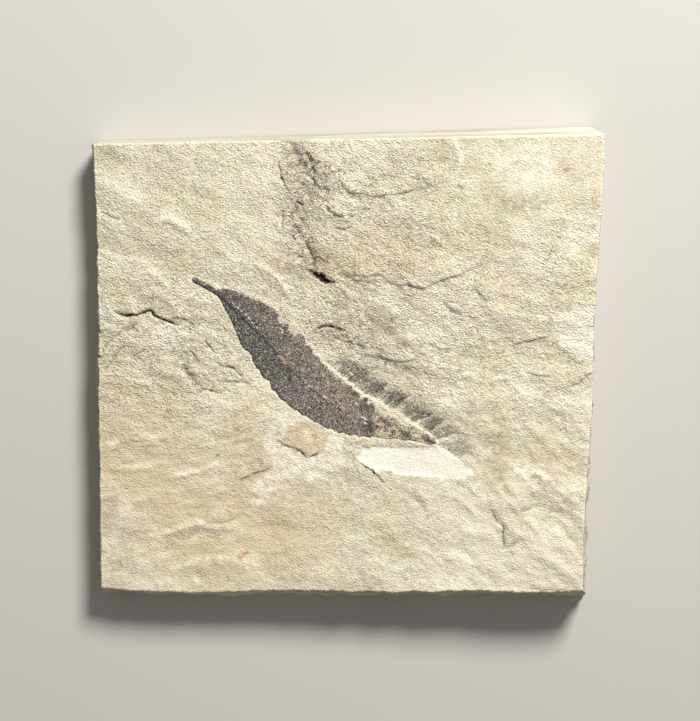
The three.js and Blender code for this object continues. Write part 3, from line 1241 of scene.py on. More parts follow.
@dataclass
class StoneSlab:
    """The limestone plate: a split face with the relief that the photo shows, broken sides and a flat back.

    The face is a grid in u (across) and v (up) over the plate's four corners. Its height is the plane of the
    split plus swells, flakes, grain, and every lip, fold and tool mark listed here. All sizes are in mm.
    """

    # The plate's half sizes and its thickness at either end
    half_width: float
    half_depth: float
    thick_end: float
    blade: Blade
    thin_end: float = 9.0

    # The face's grid, which crowds about the leaf, rows down the sides, and rings on the back
    cells_across: int = 300
    cells_up: int = 262
    crowding: float = 0.3
    crowded_about: Point = (0.45, 0.52)
    wall_rows: tuple[float, ...] = (
        0.012, 0.04, 0.09, 0.16, 0.24, 0.32, 0.4, 0.48, 0.56, 0.64, 0.72, 0.81, 0.91,
    )
    back_rings: tuple[float, ...] = (0.0, 0.02, 0.1, 0.4)
    foot_height: float = 0.25
    hub_height: float = 0.05

    # The four sides: how far they stray and step, their beds, the pale rim where they meet the face, and
    # how far the sawn side takes its own tone, grains show, sawing smoothed them, and broken sides flake
    lower_edge: PlateEdge = PlateEdge((0.8, 1.1, 0.5, 0.2, 0.6, 0.4, -0.1, 0.3), 0.35, 0.55)
    right_edge: PlateEdge = PlateEdge((-0.6, -0.4, 0.0, -0.5, -0.2, 0.1), 0.22, 0.5)
    sawn_edge: PlateEdge = PlateEdge((0.0, 0.0), 0.03, 0.05)
    left_edge: PlateEdge = PlateEdge((0.0, -0.2, -0.2, -0.6, -0.6, -0.5), 0.25, 0.45)
    edge_reach: float = 3.0
    bed_thickness: float = 1.7
    ledge_height: float = 1.8
    wall_limits: Span = (-1.2, 0.9)
    rim_rounding: float = 0.25
    rim_chalk: float = 0.55
    rim_width: float = 0.5
    sawn_tone: float = 0.85
    side_speckle: float = 0.6
    sawn_smoothing: float = 0.45
    side_chips: float = 0.5

    # Relief and blotches that are noise. A flake's edge climbs over the last part of its step
    swell: Roughness = Roughness(36.0, 0.5, octaves=2, seed=3)
    flakes: Roughness = Roughness(13.0, 3.0, octaves=5, gain=0.55, stretch=1.5, turn=-20.0, seed=41)
    flake_step: float = 0.13
    flake_edge: float = 0.85
    broken: Roughness = Roughness(1.8, 0.5, octaves=3, gain=0.6, stretch=1.6, turn=-50.0, seed=95)
    blotches: Roughness = Roughness(1.5, 1.0, octaves=3, gain=0.6, seed=90)
    blocks: Roughness = Roughness(6.0, 1.0, octaves=4, gain=0.55, stretch=1.6, seed=130)
    back_relief: Roughness = Roughness(9.0, 0.12, octaves=3, seed=140)
    pale_streaks: Span = (0.15, 0.9)

    # The shake that makes marks ragged, and the share of it that each kind of mark takes
    ragged: Roughness = Roughness(1.6, 0.42, octaves=3, gain=0.65, seed=60)
    elsewhere: Point = (50.0, -30.0)
    mark_shake: float = 0.45
    patch_shake: float = 0.7
    hole_shake: float = 0.5

    # The scraped patch, the hole under the raised bed, the stone under the leaf, and the painted highlight
    # beside it
    patch_edge: Span = (-0.4, 0.5)
    patch_sink: float = 0.18
    hole_edge: Span = (-0.2, 0.5)
    hole_sink: float = 0.9
    leaf_edge: Span = (-0.4, 0.6)
    leaf_rim_away: float = 0.2
    leaf_rim_width: float = 0.35

    # Stains wider than this are even, and a place this many half widths from a line of soil and painted
    # shadow has none
    even_spread: float = 5.5
    far_from_line: float = 9.0

    trench: Trench = Trench()
    zones: tuple[Zone, ...] = (
        Zone((-38.0, 38.0), 32.0, Roughness(6.0, 0.16, 4, 0.64, 1.8, -27.0, 301), 0.95, 1.0),
        Zone((-46.0, 6.0), 17.0, Roughness(7.0, 0.34, 4, 0.62, 1.5, -12.0, 302), 1.2, 1.5),
        Zone((-36.0, -36.0), 26.0, Roughness(2.8, 0.15, 4, 0.58, 3.0, 12.0, 303), 0.6, 0.7),
        Zone((0.0, -44.0), 22.0, Roughness(6.0, 0.2, 4, 0.62, 1.4, -25.0, 304), 0.75, 1.0),
        Zone((8.0, 38.0), 17.0, Roughness(5.0, 0.23, 4, 0.66, 1.3, -30.0, 305), 1.2, 1.4),
        Zone((12.0, 12.0), 17.0, Roughness(8.0, 0.34, 4, 0.64, 1.6, -32.0, 306), 1.2, 1.4),
        Zone((50.0, 20.0), 24.0, Roughness(7.0, 0.26, 4, 0.62, 2.0, -14.0, 307), 1.0, 1.2),
        Zone((46.0, -32.0), 26.0, Roughness(4.5, 0.26, 4, 0.55, 2.6, -42.0, 308), 0.6, 1.3),
        Zone((46.0, 52.0), 18.0, Roughness(6.0, 0.16, 4, 0.64, 1.1, -10.0, 309), 0.6, 0.3),
        Zone((-6.0, 42.0), 8.0, Roughness(3.6, 0.3, 4, 0.62, 1.5, -50.0, 310), 1.25, 2.4),
        Zone((1.0, 17.0), 8.0, Roughness(6.0, 0.42, 4, 0.6, 1.5, -65.0, 311), 1.4, 2.0),
    )

    lips: tuple[Lip, ...] = (
        Lip(BED_EDGE, 0.55, 14.0, 0.45),
        Lip(trace((-2.6, 25.3), (0.0, 24.3), (1.3, 23.5), (3.3, 23.0), (6.0, 22.5), (7.9, 22.9)),
            0.35, 2.0, 0.5),
        Lip(trace((11.9, 21.8), (14.2, 19.8), (17.1, 19.4)), 0.3, 2.5, 0.3),
        Lip(trace((-6.0, 49.7), (-5.2, 49.2), (-4.6, 49.7), (-2.9, 50.2), (-0.9, 50.6)), 0.3, 3.0, 0.75),
        Lip(BED_STEP, 0.5, 8.0, 0.6),
        Lip(trace((-5.4, 42.2), (-4.6, 40.5), (-3.6, 39.6), (-2.3, 39.1), (-0.3, 38.6)), 0.45, 3.0, 0.8),
        Lip(trace((-0.1, 39.9), (1.0, 39.1), (2.2, 39.6)), 0.25, 2.0, 0.6),
        Lip(trace((-3.1, 36.2), (-1.3, 35.9), (1.2, 36.5)), 0.3, 2.0, 0.85),
        Lip(trace((3.4, 41.3), (4.6, 40.9), (6.1, 40.9)), 0.2, 1.5, 0.6),
        Lip(trace((14.2, 34.3), (19.1, 34.7)), 0.15, 1.5, 0.35),
        Lip(trace((20.4, 33.7), (22.0, 32.5), (23.7, 32.1)), 0.2, 1.5, 0.5),
        Lip(trace((16.5, 48.5), (18.7, 47.9), (20.3, 46.2)), 0.3, 4.0, 0.3),
        Lip(LEFT_CRACK, 0.4, 6.0),
        Lip(LENS, 0.4, 3.5, 0.2),
        Lip(trace((-4.4, 10.1), (-2.8, 8.9), (-0.7, 7.9), (1.3, 7.5), (3.4, 6.8), (5.5, 5.8)),
            0.45, 2.5, 0.5),
        Lip(trace((2.5, 4.7), (7.9, 4.0), (12.0, 3.0), (17.0, 3.2)), 0.45, 2.5, 0.2),
        Lip(FLAKE_EDGE, 0.4, 4.0, 0.85),
        Lip(trace((-27.4, -27.6), (-24.7, -26.2), (-21.4, -25.2), (-18.3, -23.6)), 0.25, 5.0, 0.6),
        Lip(trace((2.8, -22.4), (6.3, -24.7), (8.1, -26.5), (9.8, -28.5)), 0.35, 1.6, 0.95),
        Lip(trace((40.0, 6.9), (43.6, 8.0), (46.0, 8.7), (50.6, 9.8)), 0.25, 2.0, 0.6),
        Lip(trace((36.8, 5.0), (39.2, 5.6)), 0.2, 2.0, 0.5),
        Lip(trace((44.0, 0.7), (46.0, 0.0), (47.8, -0.3), (50.8, -0.5)), 0.3, 2.0, 0.6),
        Lip(trace((54.0, -2.9), (57.0, -2.3), (58.3, -0.6), (60.8, 0.8)), 0.25, 2.5, 0.5),
        Lip(trace((-50.0, 18.4), (-46.0, 19.0)), 0.2, 2.0, 0.5),
        Lip(trace((-43.8, 13.9), (-41.5, 13.7), (-39.8, 13.2), (-38.6, 12.2), (-37.6, 11.0)), 0.4, 3.0, 0.7),
        Lip(trace((-13.5, 27.6), (-13.0, 25.6), (-11.8, 24.1), (-10.0, 23.1)), 0.2, 2.0, 0.4),
        Lip(trace((-36.1, -38.5), (-32.1, -38.4), (-29.1, -37.6), (-26.8, -36.1)), 0.3, 3.0, 0.35),
        Lip(trace((-38.0, 34.4), (-39.3, 35.9), (-41.7, 37.3), (-44.2, 38.6), (-46.4, 37.8)), 0.3, 4.0),
        Lip(trace((-13.7, 18.6), (-16.7, 23.1), (-21.1, 26.8), (-28.0, 28.2), (-30.9, 31.0)), 0.25, 5.0),
    )
    folds: tuple[Fold, ...] = (
        Fold(VALLEY, 2.6, -0.9, end=0.06),
        Fold(LEFT_CRACK, 0.36, -0.65, 1.2, end=0.12),
        Fold(RIGHT_CRACK, 0.34, -0.35, 0.6),
        Fold(RIGHT_CRACK, 1.2, -0.2, 0.0, Tint.GREY_AND_SHADE, 0.6),
        Fold(trace((37.0, -44.2), (40.0, -44.7), (43.0, -42.6), (44.9, -41.8)), 0.5, -0.25, 0.35),
        Fold(trace((-16.8, 53.0), (-16.5, 50.4), (-15.9, 47.7), (-15.5, 46.4), (-13.6, 44.1)),
             0.28, -0.2, 0.8),
        Fold(trace((-17.2, 41.3), (-15.8, 39.9), (-16.0, 35.2)), 0.25, -0.12, 0.5),
        Fold(trace((-16.2, 57.0), (-17.2, 54.4), (-17.3, 52.5)), 0.7, 0.15, 0.0, Tint.CHALK_AND_HIGHLIGHT, 0.7),
        Fold(trace((-10.4, 54.9), (-8.6, 51.8)), 0.32, -0.3, 1.0),
        Fold(trace((-9.6, 55.0), (-8.0, 52.2)), 0.26, -0.2, 0.9),
        Fold(trace((-8.4, 51.4), (-6.0, 52.8)), 0.26, -0.2, 0.8),
        Fold(trace((-8.8, 51.4), (-7.6, 48.8)), 0.34, -0.3, 0.9),
        Fold(trace((-9.0, 48.7), (-7.7, 46.8), (-6.5, 45.1)), 0.45, -0.35, 0.8),
        Fold(trace((-6.4, 50.0), (-4.9, 48.2)), 0.3, -0.25, 0.8),
        Fold(trace((-12.8, 55.4), (-10.9, 53.2)), 0.34, -0.2, 0.6),
        Fold(trace((-12.8, 42.8), (-10.5, 41.3)), 0.32, -0.25, 1.0),
        Fold(trace((-14.8, 39.4), (-12.7, 37.3)), 0.34, -0.25, 0.7),
        Fold(trace((-14.1, 34.7), (-12.5, 32.8)), 0.34, -0.25, 0.7),
        Fold(trace((-12.9, 36.4), (-11.4, 34.7)), 0.36, -0.25, 0.6),
        Fold(trace((-10.4, 32.6), (-8.5, 29.3), (-7.7, 25.9)), 0.42, -0.35, 0.9),
        Fold(trace((-12.4, 29.2), (-10.5, 28.5)), 0.3, -0.2, 0.8),
        Fold(trace((-8.3, 29.3), (-6.5, 28.6), (-4.9, 27.0)), 0.26, -0.12, 0.7),
        Fold(trace((-4.8, 29.6), (-4.8, 27.1)), 0.22, -0.1, 0.6),
        Fold(trace((-9.0, 45.4), (-6.4, 44.0)), 1.0, 0.25, 0.0, Tint.CHALK_AND_HIGHLIGHT, 0.55),
        Fold(LENS, 0.5, -0.4, 0.9),
        Fold(trace((-3.4, 21.5), (-0.9, 19.5), (-0.9, 16.0)), 0.7, -0.25, 0.2),
        Fold(trace((3.0, 20.1), (4.8, 13.9), (7.9, 11.3), (11.8, 8.8)), 0.8, -0.3, 0.2),
        Fold(trace((5.8, 5.6), (8.9, 7.1), (12.6, 8.0), (17.9, 8.1), (22.6, 6.6)), 1.1, 0.35),
        Fold(trace((30.4, 22.1), (31.8, 20.6), (33.3, 18.9), (34.8, 17.4)), 0.55, -0.35, 0.55),
        Fold(trace((23.3, 18.6), (24.5, 16.6), (26.0, 15.4), (28.5, 14.4)), 0.4, -0.3, 0.6),
        Fold(trace((20.1, 7.3), (22.9, 5.8), (25.8, 5.1)), 0.5, -0.3, 0.35),
        Fold(trace((29.4, 14.6), (31.0, 13.4), (32.7, 12.7)), 0.4, -0.2, 0.3),
        Fold(trace((50.8, 32.4), (48.9, 28.9)), 0.25, -0.12, 0.5),
        Fold(trace((26.7, 47.2), (27.7, 46.2), (28.7, 45.5)), 0.32, -0.2, 0.6),
        Fold(trace((-60.9, 40.0), (-58.0, 38.5), (-55.5, 37.8)), 0.28, -0.15, 0.7),
        Fold(trace((-63.5, 32.6), (-61.2, 30.6)), 0.4, -0.6, 0.9),
        Fold(trace((-63.5, 11.2), (-60.5, 9.3)), 0.4, -0.6, 0.9),
        Fold(trace((-63.5, 4.6), (-60.9, 3.0)), 0.4, -0.5, 0.8),
        Fold(trace((-56.3, 10.1), (-54.3, 10.6), (-52.3, 11.4)), 0.7, -0.3, 0.5),
        Fold(trace((-53.9, 3.5), (-51.6, 4.8), (-49.6, 5.9)), 0.3, -0.2, 0.6),
        Fold(trace((-60.7, -0.3), (-57.6, 4.0), (-55.1, 7.3)), 0.45, -0.28, 0.35),
        Fold(trace((-61.6, 4.8), (-59.1, 7.6), (-56.5, 9.6), (-51.8, 12.6)), 0.45, -0.28, 0.35),
        Fold(trace((-39.6, 5.7), (-37.9, 3.9), (-36.7, 2.7)), 0.3, -0.22, 0.75),
        Fold(trace((-35.6, 8.2), (-34.2, 6.2), (-32.4, 4.2)), 0.28, -0.22, 0.85),
        Fold(trace((-33.2, 2.7), (-31.2, 1.4), (-28.7, 1.0), (-26.7, -0.6), (-25.0, -1.8)),
             0.3, -0.25, 0.75),
        Fold(trace((-41.2, 2.4), (-39.7, -0.6), (-38.2, -2.7), (-36.5, -4.4)),
             0.9, -0.5, 0.35, Tint.GREY_AND_SHADE, 0.6),
        Fold(trace((-36.8, -4.2), (-33.8, -4.9), (-31.0, -5.9)), 0.28, -0.22, 0.85),
        Fold(trace((-31.5, -2.6), (-27.3, -2.6), (-23.5, -3.1)), 0.3, -0.22, 0.65),
        Fold(trace((-45.3, -43.2), (-39.7, -42.4), (-35.9, -41.3), (-33.9, -42.6), (-31.7, -43.6)),
             1.3, -0.3, 0.0, Tint.GREY_AND_SHADE, 0.4),
        Fold(trace((45.0, -25.4), (47.5, -27.6), (49.8, -30.4)), 0.9, -0.22, 0.1, Tint.GREY_AND_SHADE, 0.15),
        Fold(trace((52.1, -34.0), (55.6, -36.8), (58.1, -39.9), (60.2, -42.4)),
             1.2, -0.4, 0.15, Tint.GREY_AND_SHADE, 0.2),
        Fold(trace((38.0, -28.5), (41.6, -32.1)), 0.7, -0.2, 0.1),
        Fold(trace((53.5, -31.9), (56.8, -35.0)), 0.5, -0.25, 0.3),
        Fold(trace((42.8, -35.2), (46.6, -34.1)), 0.35, -0.2, 0.45),
        Fold(trace((27.6, -28.1), (30.3, -29.6), (32.8, -31.9)), 0.36, -0.2, 0.25),
        Fold(trace((16.1, -29.7), (18.1, -33.3), (19.9, -36.6)), 0.9, -0.25, 0.1, Tint.GREY_AND_SHADE, 0.4),
        Fold(trace((28.6, -33.5), (30.9, -36.0)), 0.45, -0.2, 0.25),
        Fold(trace((25.2, -37.4), (27.7, -39.9), (29.2, -41.2)), 0.6, -0.2, 0.15),
        Fold(trace((44.5, -54.6), (50.0, -55.2), (57.0, -55.3)), 0.25, -0.2, 0.5),
    )
    pale_ridges: tuple[tuple[float, float, float, Trace], ...] = (
        (1.1, 0.4, 0.85, trace((-46.4, 37.8), (-44.2, 38.6), (-41.7, 37.3), (-39.3, 35.9), (-38.0, 34.4))),
        (0.8, 0.3, 0.75, trace((-52.0, 28.4), (-50.0, 26.4), (-47.6, 24.2), (-43.9, 21.4))),
        (0.6, 0.2, 0.7, trace((-55.8, 35.8), (-54.3, 34.6), (-52.6, 35.1))),
        (0.6, 0.25, 0.6, trace((-30.9, 31.0), (-29.5, 29.0), (-28.0, 28.2))),
        (0.7, 0.3, 0.6, trace((-21.1, 26.8), (-18.6, 24.8), (-16.7, 23.1), (-15.0, 20.1), (-13.7, 18.6))),
        (0.7, 0.25, 0.55, trace((-38.4, 23.2), (-40.4, 21.7), (-42.9, 19.7))),
        (0.6, 0.15, 0.3, trace((-53.2, 0.0), (-50.5, -2.8), (-48.0, -5.3), (-46.6, -7.5))),
        (1.1, 0.3, 0.6, trace((-54.7, -15.8), (-52.0, -16.0), (-49.7, -17.0), (-47.0, -18.8))),
        (0.6, 0.2, 0.7, trace((-56.6, -24.5), (-52.6, -24.5), (-48.8, -24.2))),
        (0.6, 0.25, 0.75,
         trace((-44.6, -26.7), (-41.5, -26.2), (-37.0, -25.3), (-35.0, -24.6), (-32.7, -23.3))),
        (0.8, 0.2, 0.45, trace((-61.1, -22.2), (-59.0, -19.1), (-57.7, -16.8))),
        (1.7, 0.25, 0.5,
         trace((-62.4, -47.3), (-60.0, -44.7), (-58.4, -40.8), (-56.8, -36.9), (-55.5, -33.0))),
        (0.9, 0.35, 0.6,
         trace((-47.3, -42.2), (-42.7, -40.4), (-38.2, -38.8), (-35.9, -39.5), (-26.6, -40.2))),
        (1.4, 0.3, 0.55,
         trace((-42.9, -50.2), (-38.5, -48.9), (-35.5, -48.3), (-27.2, -48.5), (-23.1, -48.2))),
        (1.2, 0.25, 0.5, trace((-51.8, -55.8), (-48.8, -55.0), (-46.0, -54.2), (-43.9, -53.9))),
        (0.5, 0.2, 0.5, trace((-40.6, -51.8), (-38.6, -53.6), (-37.4, -55.7))),
        (0.9, 0.3, 0.5, trace((46.7, -24.3), (51.0, -28.4), (56.0, -31.7), (60.5, -34.9))),
        (0.8, 0.3, 0.4, trace((39.3, -31.3), (43.6, -35.9), (48.2, -40.5), (50.2, -44.3))),
        (0.8, 0.25, 0.35, trace((51.4, -39.2), (54.7, -43.0), (58.3, -46.3))),
        (0.5, 0.2, 0.6, trace((17.7, -44.4), (20.7, -45.9), (23.2, -48.2), (25.0, -50.8))),
        (0.6, 0.25, 0.5, trace((33.8, -2.6), (37.0, -1.3), (39.2, -1.3), (43.2, -4.8), (45.5, -6.3))),
        (0.5, 0.2, 0.5, trace((28.1, -0.9), (30.1, -0.1), (32.1, -1.1))),
        (0.35, 0.2, 0.85, trace((38.8, -9.7), (40.3, -11.7), (42.1, -13.4), (44.1, -14.4))),
        (1.8, 0.3, 0.6, trace((54.6, -5.5), (57.6, -7.7), (60.6, -9.5))),
        (1.2, 0.2, 0.4, trace((49.7, -7.6), (52.2, -9.6))),
        (1.1, 0.3, 0.7, trace((23.1, 12.9), (26.8, 11.4))),
        (0.8, 0.3, 0.6, trace((33.2, 9.9), (35.4, 7.9))),
        (1.6, 0.3, 0.8, trace((23.9, -8.5), (27.9, -7.7))),
        (0.6, 0.3, 1.1, trace((25.8, 58.2), (26.8, 55.4), (27.8, 53.1), (26.8, 50.0))),
    )
    stains: tuple[Stain, ...] = (
        *(
            Stain(tint, line, spread, strength)
            for tint, rows in LINE_STAINS.items() for spread, strength, line in rows
        ),
        Stain(Tint.DUST, SHARD, 0.6, 0.42, True),
        Stain(Tint.DUST, DUSTY_SCRAPE, 0.6, 0.42, True, FLAKE),
        Stain(Tint.DUST, PALE_CORNER, 3.6, 0.36, True),
        Stain(Tint.DUST, PALE_MARGIN, 2.0, 0.42, True),
        Stain(Tint.DUST, PALE_SIDE, 1.4, 0.75, True),
        Stain(Tint.OCHRE, FLAKE, 0.4, 0.36, True),
    )

    def plane(self, x: Grid) -> Grid:
        """Height of the plane of the split, which climbs evenly from the thin end to the thick end."""
        share = (x + self.half_width) / (2 * self.half_width)
        return self.thin_end + (self.thick_end - self.thin_end) * share

    def face_corners(self) -> Grid:
        """Corners of the split face: lower left, lower right, sawn right, sawn left."""
        w, d = self.half_width, self.half_depth
        return np.array([(-w, -d + 4.2), (w - 3.3, -d + 4.5), (w, d - 0.9), (-w, d - 3.7)])

    def back_corners(self) -> Grid:
        """Corners of the back, in the same order."""
        w, d = self.half_width, self.half_depth
        return np.array([(-w + 0.5, -d + 0.5), (w - 1.5, -d), (w - 2.5, d), (-w + 1.0, d - 3.7)])

    @staticmethod
    def inside(corners: Grid, u: Grid, v: Grid) -> Grid:
        """Places inside four corners, in straight lines from side to side, as x and y in the last axis."""
        u, v = u[..., None], v[..., None]
        lower = (1 - u) * corners[0] + u * corners[1]
        upper = (1 - u) * corners[3] + u * corners[2]
        return (1 - v) * lower + v * upper

    def stray(self, edge: PlateEdge, share: Grid, seed: int) -> Grid:
        """How far an edge strays outwards: its wander, joined smoothly, plus fine chips.

        Args:
            edge: The side of the plate.
            share: Places along it, from 0 to 1.
            seed: Picks the chips.

        Returns:
            Distances in mm.
        """
        wander = np.array([0.0, *edge.wander, 0.0])
        smooth = curve_through(share, np.linspace(0.0, 1.0, len(wander)), wander)
        place = share * 2 * self.half_depth
        chips = Roughness(lump=5.0, height=edge.ragged, octaves=4, gain=0.6, seed=seed)
        from_corners = np.sqrt(np.clip(4 * share * (1 - share), 0.0, 1.0))
        return smooth + chips.at(place, np.zeros_like(place)) * from_corners

    def plan(self, u: Grid, v: Grid) -> tuple[Grid, Grid]:
        """Plan of the face: the four corners' patch, with each edge's stray dying away inwards.

        Args:
            u: Places across, from 0 to 1.
            v: Places up, from 0 to 1.

        Returns:
            Places in mm.
        """
        place = self.inside(self.face_corners(), u, v)
        x, y = place[..., 0].copy(), place[..., 1].copy()
        width, depth = 2 * self.half_width, 2 * self.half_depth
        y -= self.stray(self.lower_edge, u, 101) * np.exp(-v * depth / self.edge_reach)
        y += self.stray(self.sawn_edge, u, 102) * np.exp(-(1 - v) * depth / self.edge_reach)
        x += self.stray(self.right_edge, v, 103) * np.exp(-(1 - u) * width / self.edge_reach)
        x -= self.stray(self.left_edge, v, 104) * np.exp(-u * width / self.edge_reach)
        return x, y

    def relief(self, x: Grid, y: Grid) -> tuple[Grid, dict[str, Grid]]:
        """Height of the face above the plane of the split, and its marks.

        Swells, stepped flakes and grain are noise. Flakes are noise cut into level steps, so their edges
        wander like contour lines. Lips, folds and the trench are added to that. Lips and folds are read at
        places that are first shaken by a fine noise, which makes them ragged. The scraped patch is sunk a
        little and smoothed, and grey stone, partly painted shade, is broken and rough. Lines of soil and
        painted shadow, and the patch, are kept as distances, so that their edges come out crisp. Chalk
        beside the leaf's margin is a painted highlight.

        Args:
            x: Places across.
            y: Places up.

        Returns:
            Heights in mm, and for each mesh attribute its value.
        """
        shake_x, shake_y = self.ragged.at(x, y), self.ragged.at(x + self.elsewhere[0], y + self.elsewhere[1])

        def shaken(share: float) -> tuple[Grid, Grid]:
            """The places, moved by a share of the shake."""
            return x + share * shake_x, y + share * shake_y

        patch_depth = SCRAPED_PATCH.depth_inside(*shaken(self.patch_shake))
        patch = smooth_step(*self.patch_edge, patch_depth)

        along, across = self.blade.to_blade(x, y)
        lower, upper = self.blade.margins(along)
        inside = np.minimum(across - lower, upper - across)
        on_chord = smooth_step(-1.0, 0.0, along - self.blade.start) * (along < self.blade.tip)
        under_leaf = smooth_step(*self.leaf_edge, inside) * on_chord
        highlight_beside_leaf = np.exp(-(((inside + self.leaf_rim_away) / self.leaf_rim_width) ** 2)) * on_chord
        calm = (1 - 0.75 * patch) * (1 - 0.6 * under_leaf)

        weights = np.stack([zone.weight(x, y) for zone in self.zones])
        weights /= weights.sum(axis=0)
        reliefs = np.stack([zone.grain.at(x, y) for zone in self.zones])
        full_height = np.array([zone.grain.height for zone in self.zones])[:, None, None]
        grain = (weights * reliefs).sum(axis=0)
        streak = (weights * reliefs / full_height).sum(axis=0)
        steps = self.flakes.at(*shaken(1.0))
        terrace = np.floor(steps) + smooth_step(self.flake_edge, 1.0, steps - np.floor(steps))
        chipped = np.tensordot([zone.chips for zone in self.zones], weights, 1)
        height = self.swell.at(x, y) + (self.flake_step * chipped * terrace + grain) * calm

        blotch = 0.65 + 0.8 * self.blotches.at(x, y)
        covers = {tint: np.zeros_like(x) for tint in Tint}
        # Chalk on the grain's pale streaks, and a painted highlight on the stone beside the leaf's margin
        covers[Tint.CHALK_AND_HIGHLIGHT] = np.maximum(0.3 * smooth_step(*self.pale_streaks, streak), 0.7 * highlight_beside_leaf)
        covers[Tint.OCHRE] = 0.14 * smooth_step(*self.pale_streaks, -streak)

        def stain(tint: Tint, cover: Grid) -> None:
            """Lays a stain's cover where it is more than what is there."""
            covers[tint] = np.maximum(covers[tint], np.clip(cover, 0.0, 0.95))

        for mark in self.stains:
            uneven = np.minimum(blotch + 0.4, 1.2) if mark.closed else blotch
            stain(mark.tint, mark.at(*shaken(1.0)) * (uneven if mark.spread < self.even_spread else 0.8))
        # The nearest line of soil and painted shadow, at lips' feet and in folds' grooves, and its distance
        line_soil_and_shadow, line_away = np.zeros_like(x), np.full_like(x, self.far_from_line)
        ridges = [Fold(line, width, rise, cover=cover) for width, rise, cover, line in self.pale_ridges]
        for mark in (*self.lips, *self.folds, *ridges):
            rise, soil, away = mark.at(*shaken(self.mark_shake))
            height = height + rise * (1 - under_leaf)
            stain(mark.tint, mark.cover * np.exp(-(away**2)) * blotch)
            nearer = soil * np.exp(-(away**2) / 8) > line_soil_and_shadow * np.exp(-(line_away**2) / 8)
            line_soil_and_shadow, line_away = np.where(nearer, soil, line_soil_and_shadow), np.where(nearer, away, line_away)
        # The hole under the raised bed: sunk, and filled with dark soil and painted shadow
        hole_depth = UNDERCUT.depth_inside(*shaken(self.hole_shake))
        hole = smooth_step(*self.hole_edge, hole_depth)
        line_soil_and_shadow = np.where(hole_depth > -0.4, 1.0, line_soil_and_shadow)
        line_away = np.where(hole_depth > -0.4, np.maximum(0.65 - hole_depth / 0.5, 0.0), line_away)
        rough = covers[Tint.GREY_AND_SHADE] * (1 - patch)
        scrape, worked_and_shaded, dust_and_highlight = self.trench.at(along, across)
        # Chalk on the trench's crest and first cuts, partly a painted highlight
        stain(Tint.CHALK_AND_HIGHLIGHT, dust_and_highlight)
        height = height + self.broken.at(x, y) * rough * (1 - under_leaf)

        speckle = np.tensordot([zone.speckle for zone in self.zones], weights, 1)
        values = {tint.value: cover for tint, cover in covers.items()}
        values["line_soil_and_shadow"] = np.clip(line_soil_and_shadow, 0.0, 1.0) * (1 - under_leaf)
        values["line_away"] = np.clip(line_away, -self.far_from_line, self.far_from_line)
        values["patch_depth"] = np.clip(patch_depth, -1.0, 1.0)
        values["speckle"] = (speckle + 0.8 * rough + 0.5 * worked_and_shaded) * (1 - 0.4 * patch)
        values["worked_and_shaded"] = worked_and_shaded * (1 - under_leaf)
        values["chips"] = 0.9 * chipped * calm * (1 - worked_and_shaded)
        values["rising"] = np.tensordot([float(zone.grain.turn > 0) for zone in self.zones], weights, 1)
        sunk = self.patch_sink * patch + self.hole_sink * hole
        return height + scrape * (1 - under_leaf) - sunk, values

    def crowded(self, cells: int, middle: float) -> Grid:
        """Grid lines from 0 to 1 that crowd about a middle: t - crowding * sin(2 pi (t - middle)) / 2 pi.

        Args:
            cells: How many cells lie between the lines.
            middle: Where they are narrowest.

        Returns:
            Places of the lines.
        """
        t = np.linspace(0.0, 1.0, cells + 1)
        wave = np.sin(2 * np.pi * (t - middle)) + math.sin(2 * np.pi * middle)
        return t - self.crowding * wave / (2 * np.pi)

    def skirt(self, rim: Grid, u: Grid, v: Grid) -> tuple[Grid, Grid]:
        """Rows of places down the sides and over the back.

        Each row lies between the face's outline and the back's outline and is pushed in and out by broken
        relief and by ledges, one for each bed of the stone. The last row closes over the back in rings that
        shrink towards its middle.

        Args:
            rim: Places round the face's outline, counter-clockwise.
            u: How far across each of them lies, from 0 to 1.
            v: How far up each of them lies, from 0 to 1.

        Returns:
            The rows, and the middle of the back.
        """
        foot = self.inside(self.back_corners(), u, v)
        run = np.roll(foot, -3, axis=0) - np.roll(foot, 3, axis=0)
        outward = np.stack([run[:, 1], -run[:, 0]], axis=-1)
        outward /= np.linalg.norm(outward, axis=1, keepdims=True)
        travelled = np.cumsum(np.linalg.norm(np.diff(foot, axis=0, prepend=foot[-1:]), axis=1))
        roughness = np.select(
            [v == 0.0, v == 1.0, u == 1.0],
            [self.lower_edge.relief, self.sawn_edge.relief, self.right_edge.relief],
            self.left_edge.relief,
        )

        down = np.array(self.wall_rows)[:, None]
        level = rim[:, 2] * (1 - down)
        distance = travelled + 0 * level
        bed = np.floor(level / self.bed_thickness + 0.4 * gradient_noise(distance / 20.0, 0 * level, 120))
        ledge = gradient_noise(distance / 9.0, bed * 3.7 + 0.5, 121)
        pushed = (self.ledge_height * ledge + self.blocks.at(distance, level)) * roughness
        rounded = self.rim_rounding * (1 - smooth_step(0.0, 0.05, down)) * roughness
        pushed = pushed * smooth_step(0.0, 0.08, down) - rounded
        plan = rim[None, :, :2] * (1 - down)[..., None] + foot[None] * down[..., None]
        plan = plan + outward[None] * np.clip(pushed, *self.wall_limits)[..., None]
        walls = np.concatenate([plan, level[..., None]], axis=-1)

        centre = foot.mean(axis=0)
        shrink = np.array(self.back_rings)[:, None, None]
        flat = walls[-1, :, :2] * (1 - shrink) + centre * shrink
        low = np.abs(self.back_relief.at(flat[..., 0], flat[..., 1]))
        low[0] = self.foot_height
        return np.concatenate([walls, np.concatenate([flat, low[..., None]], axis=-1)], axis=0), centre

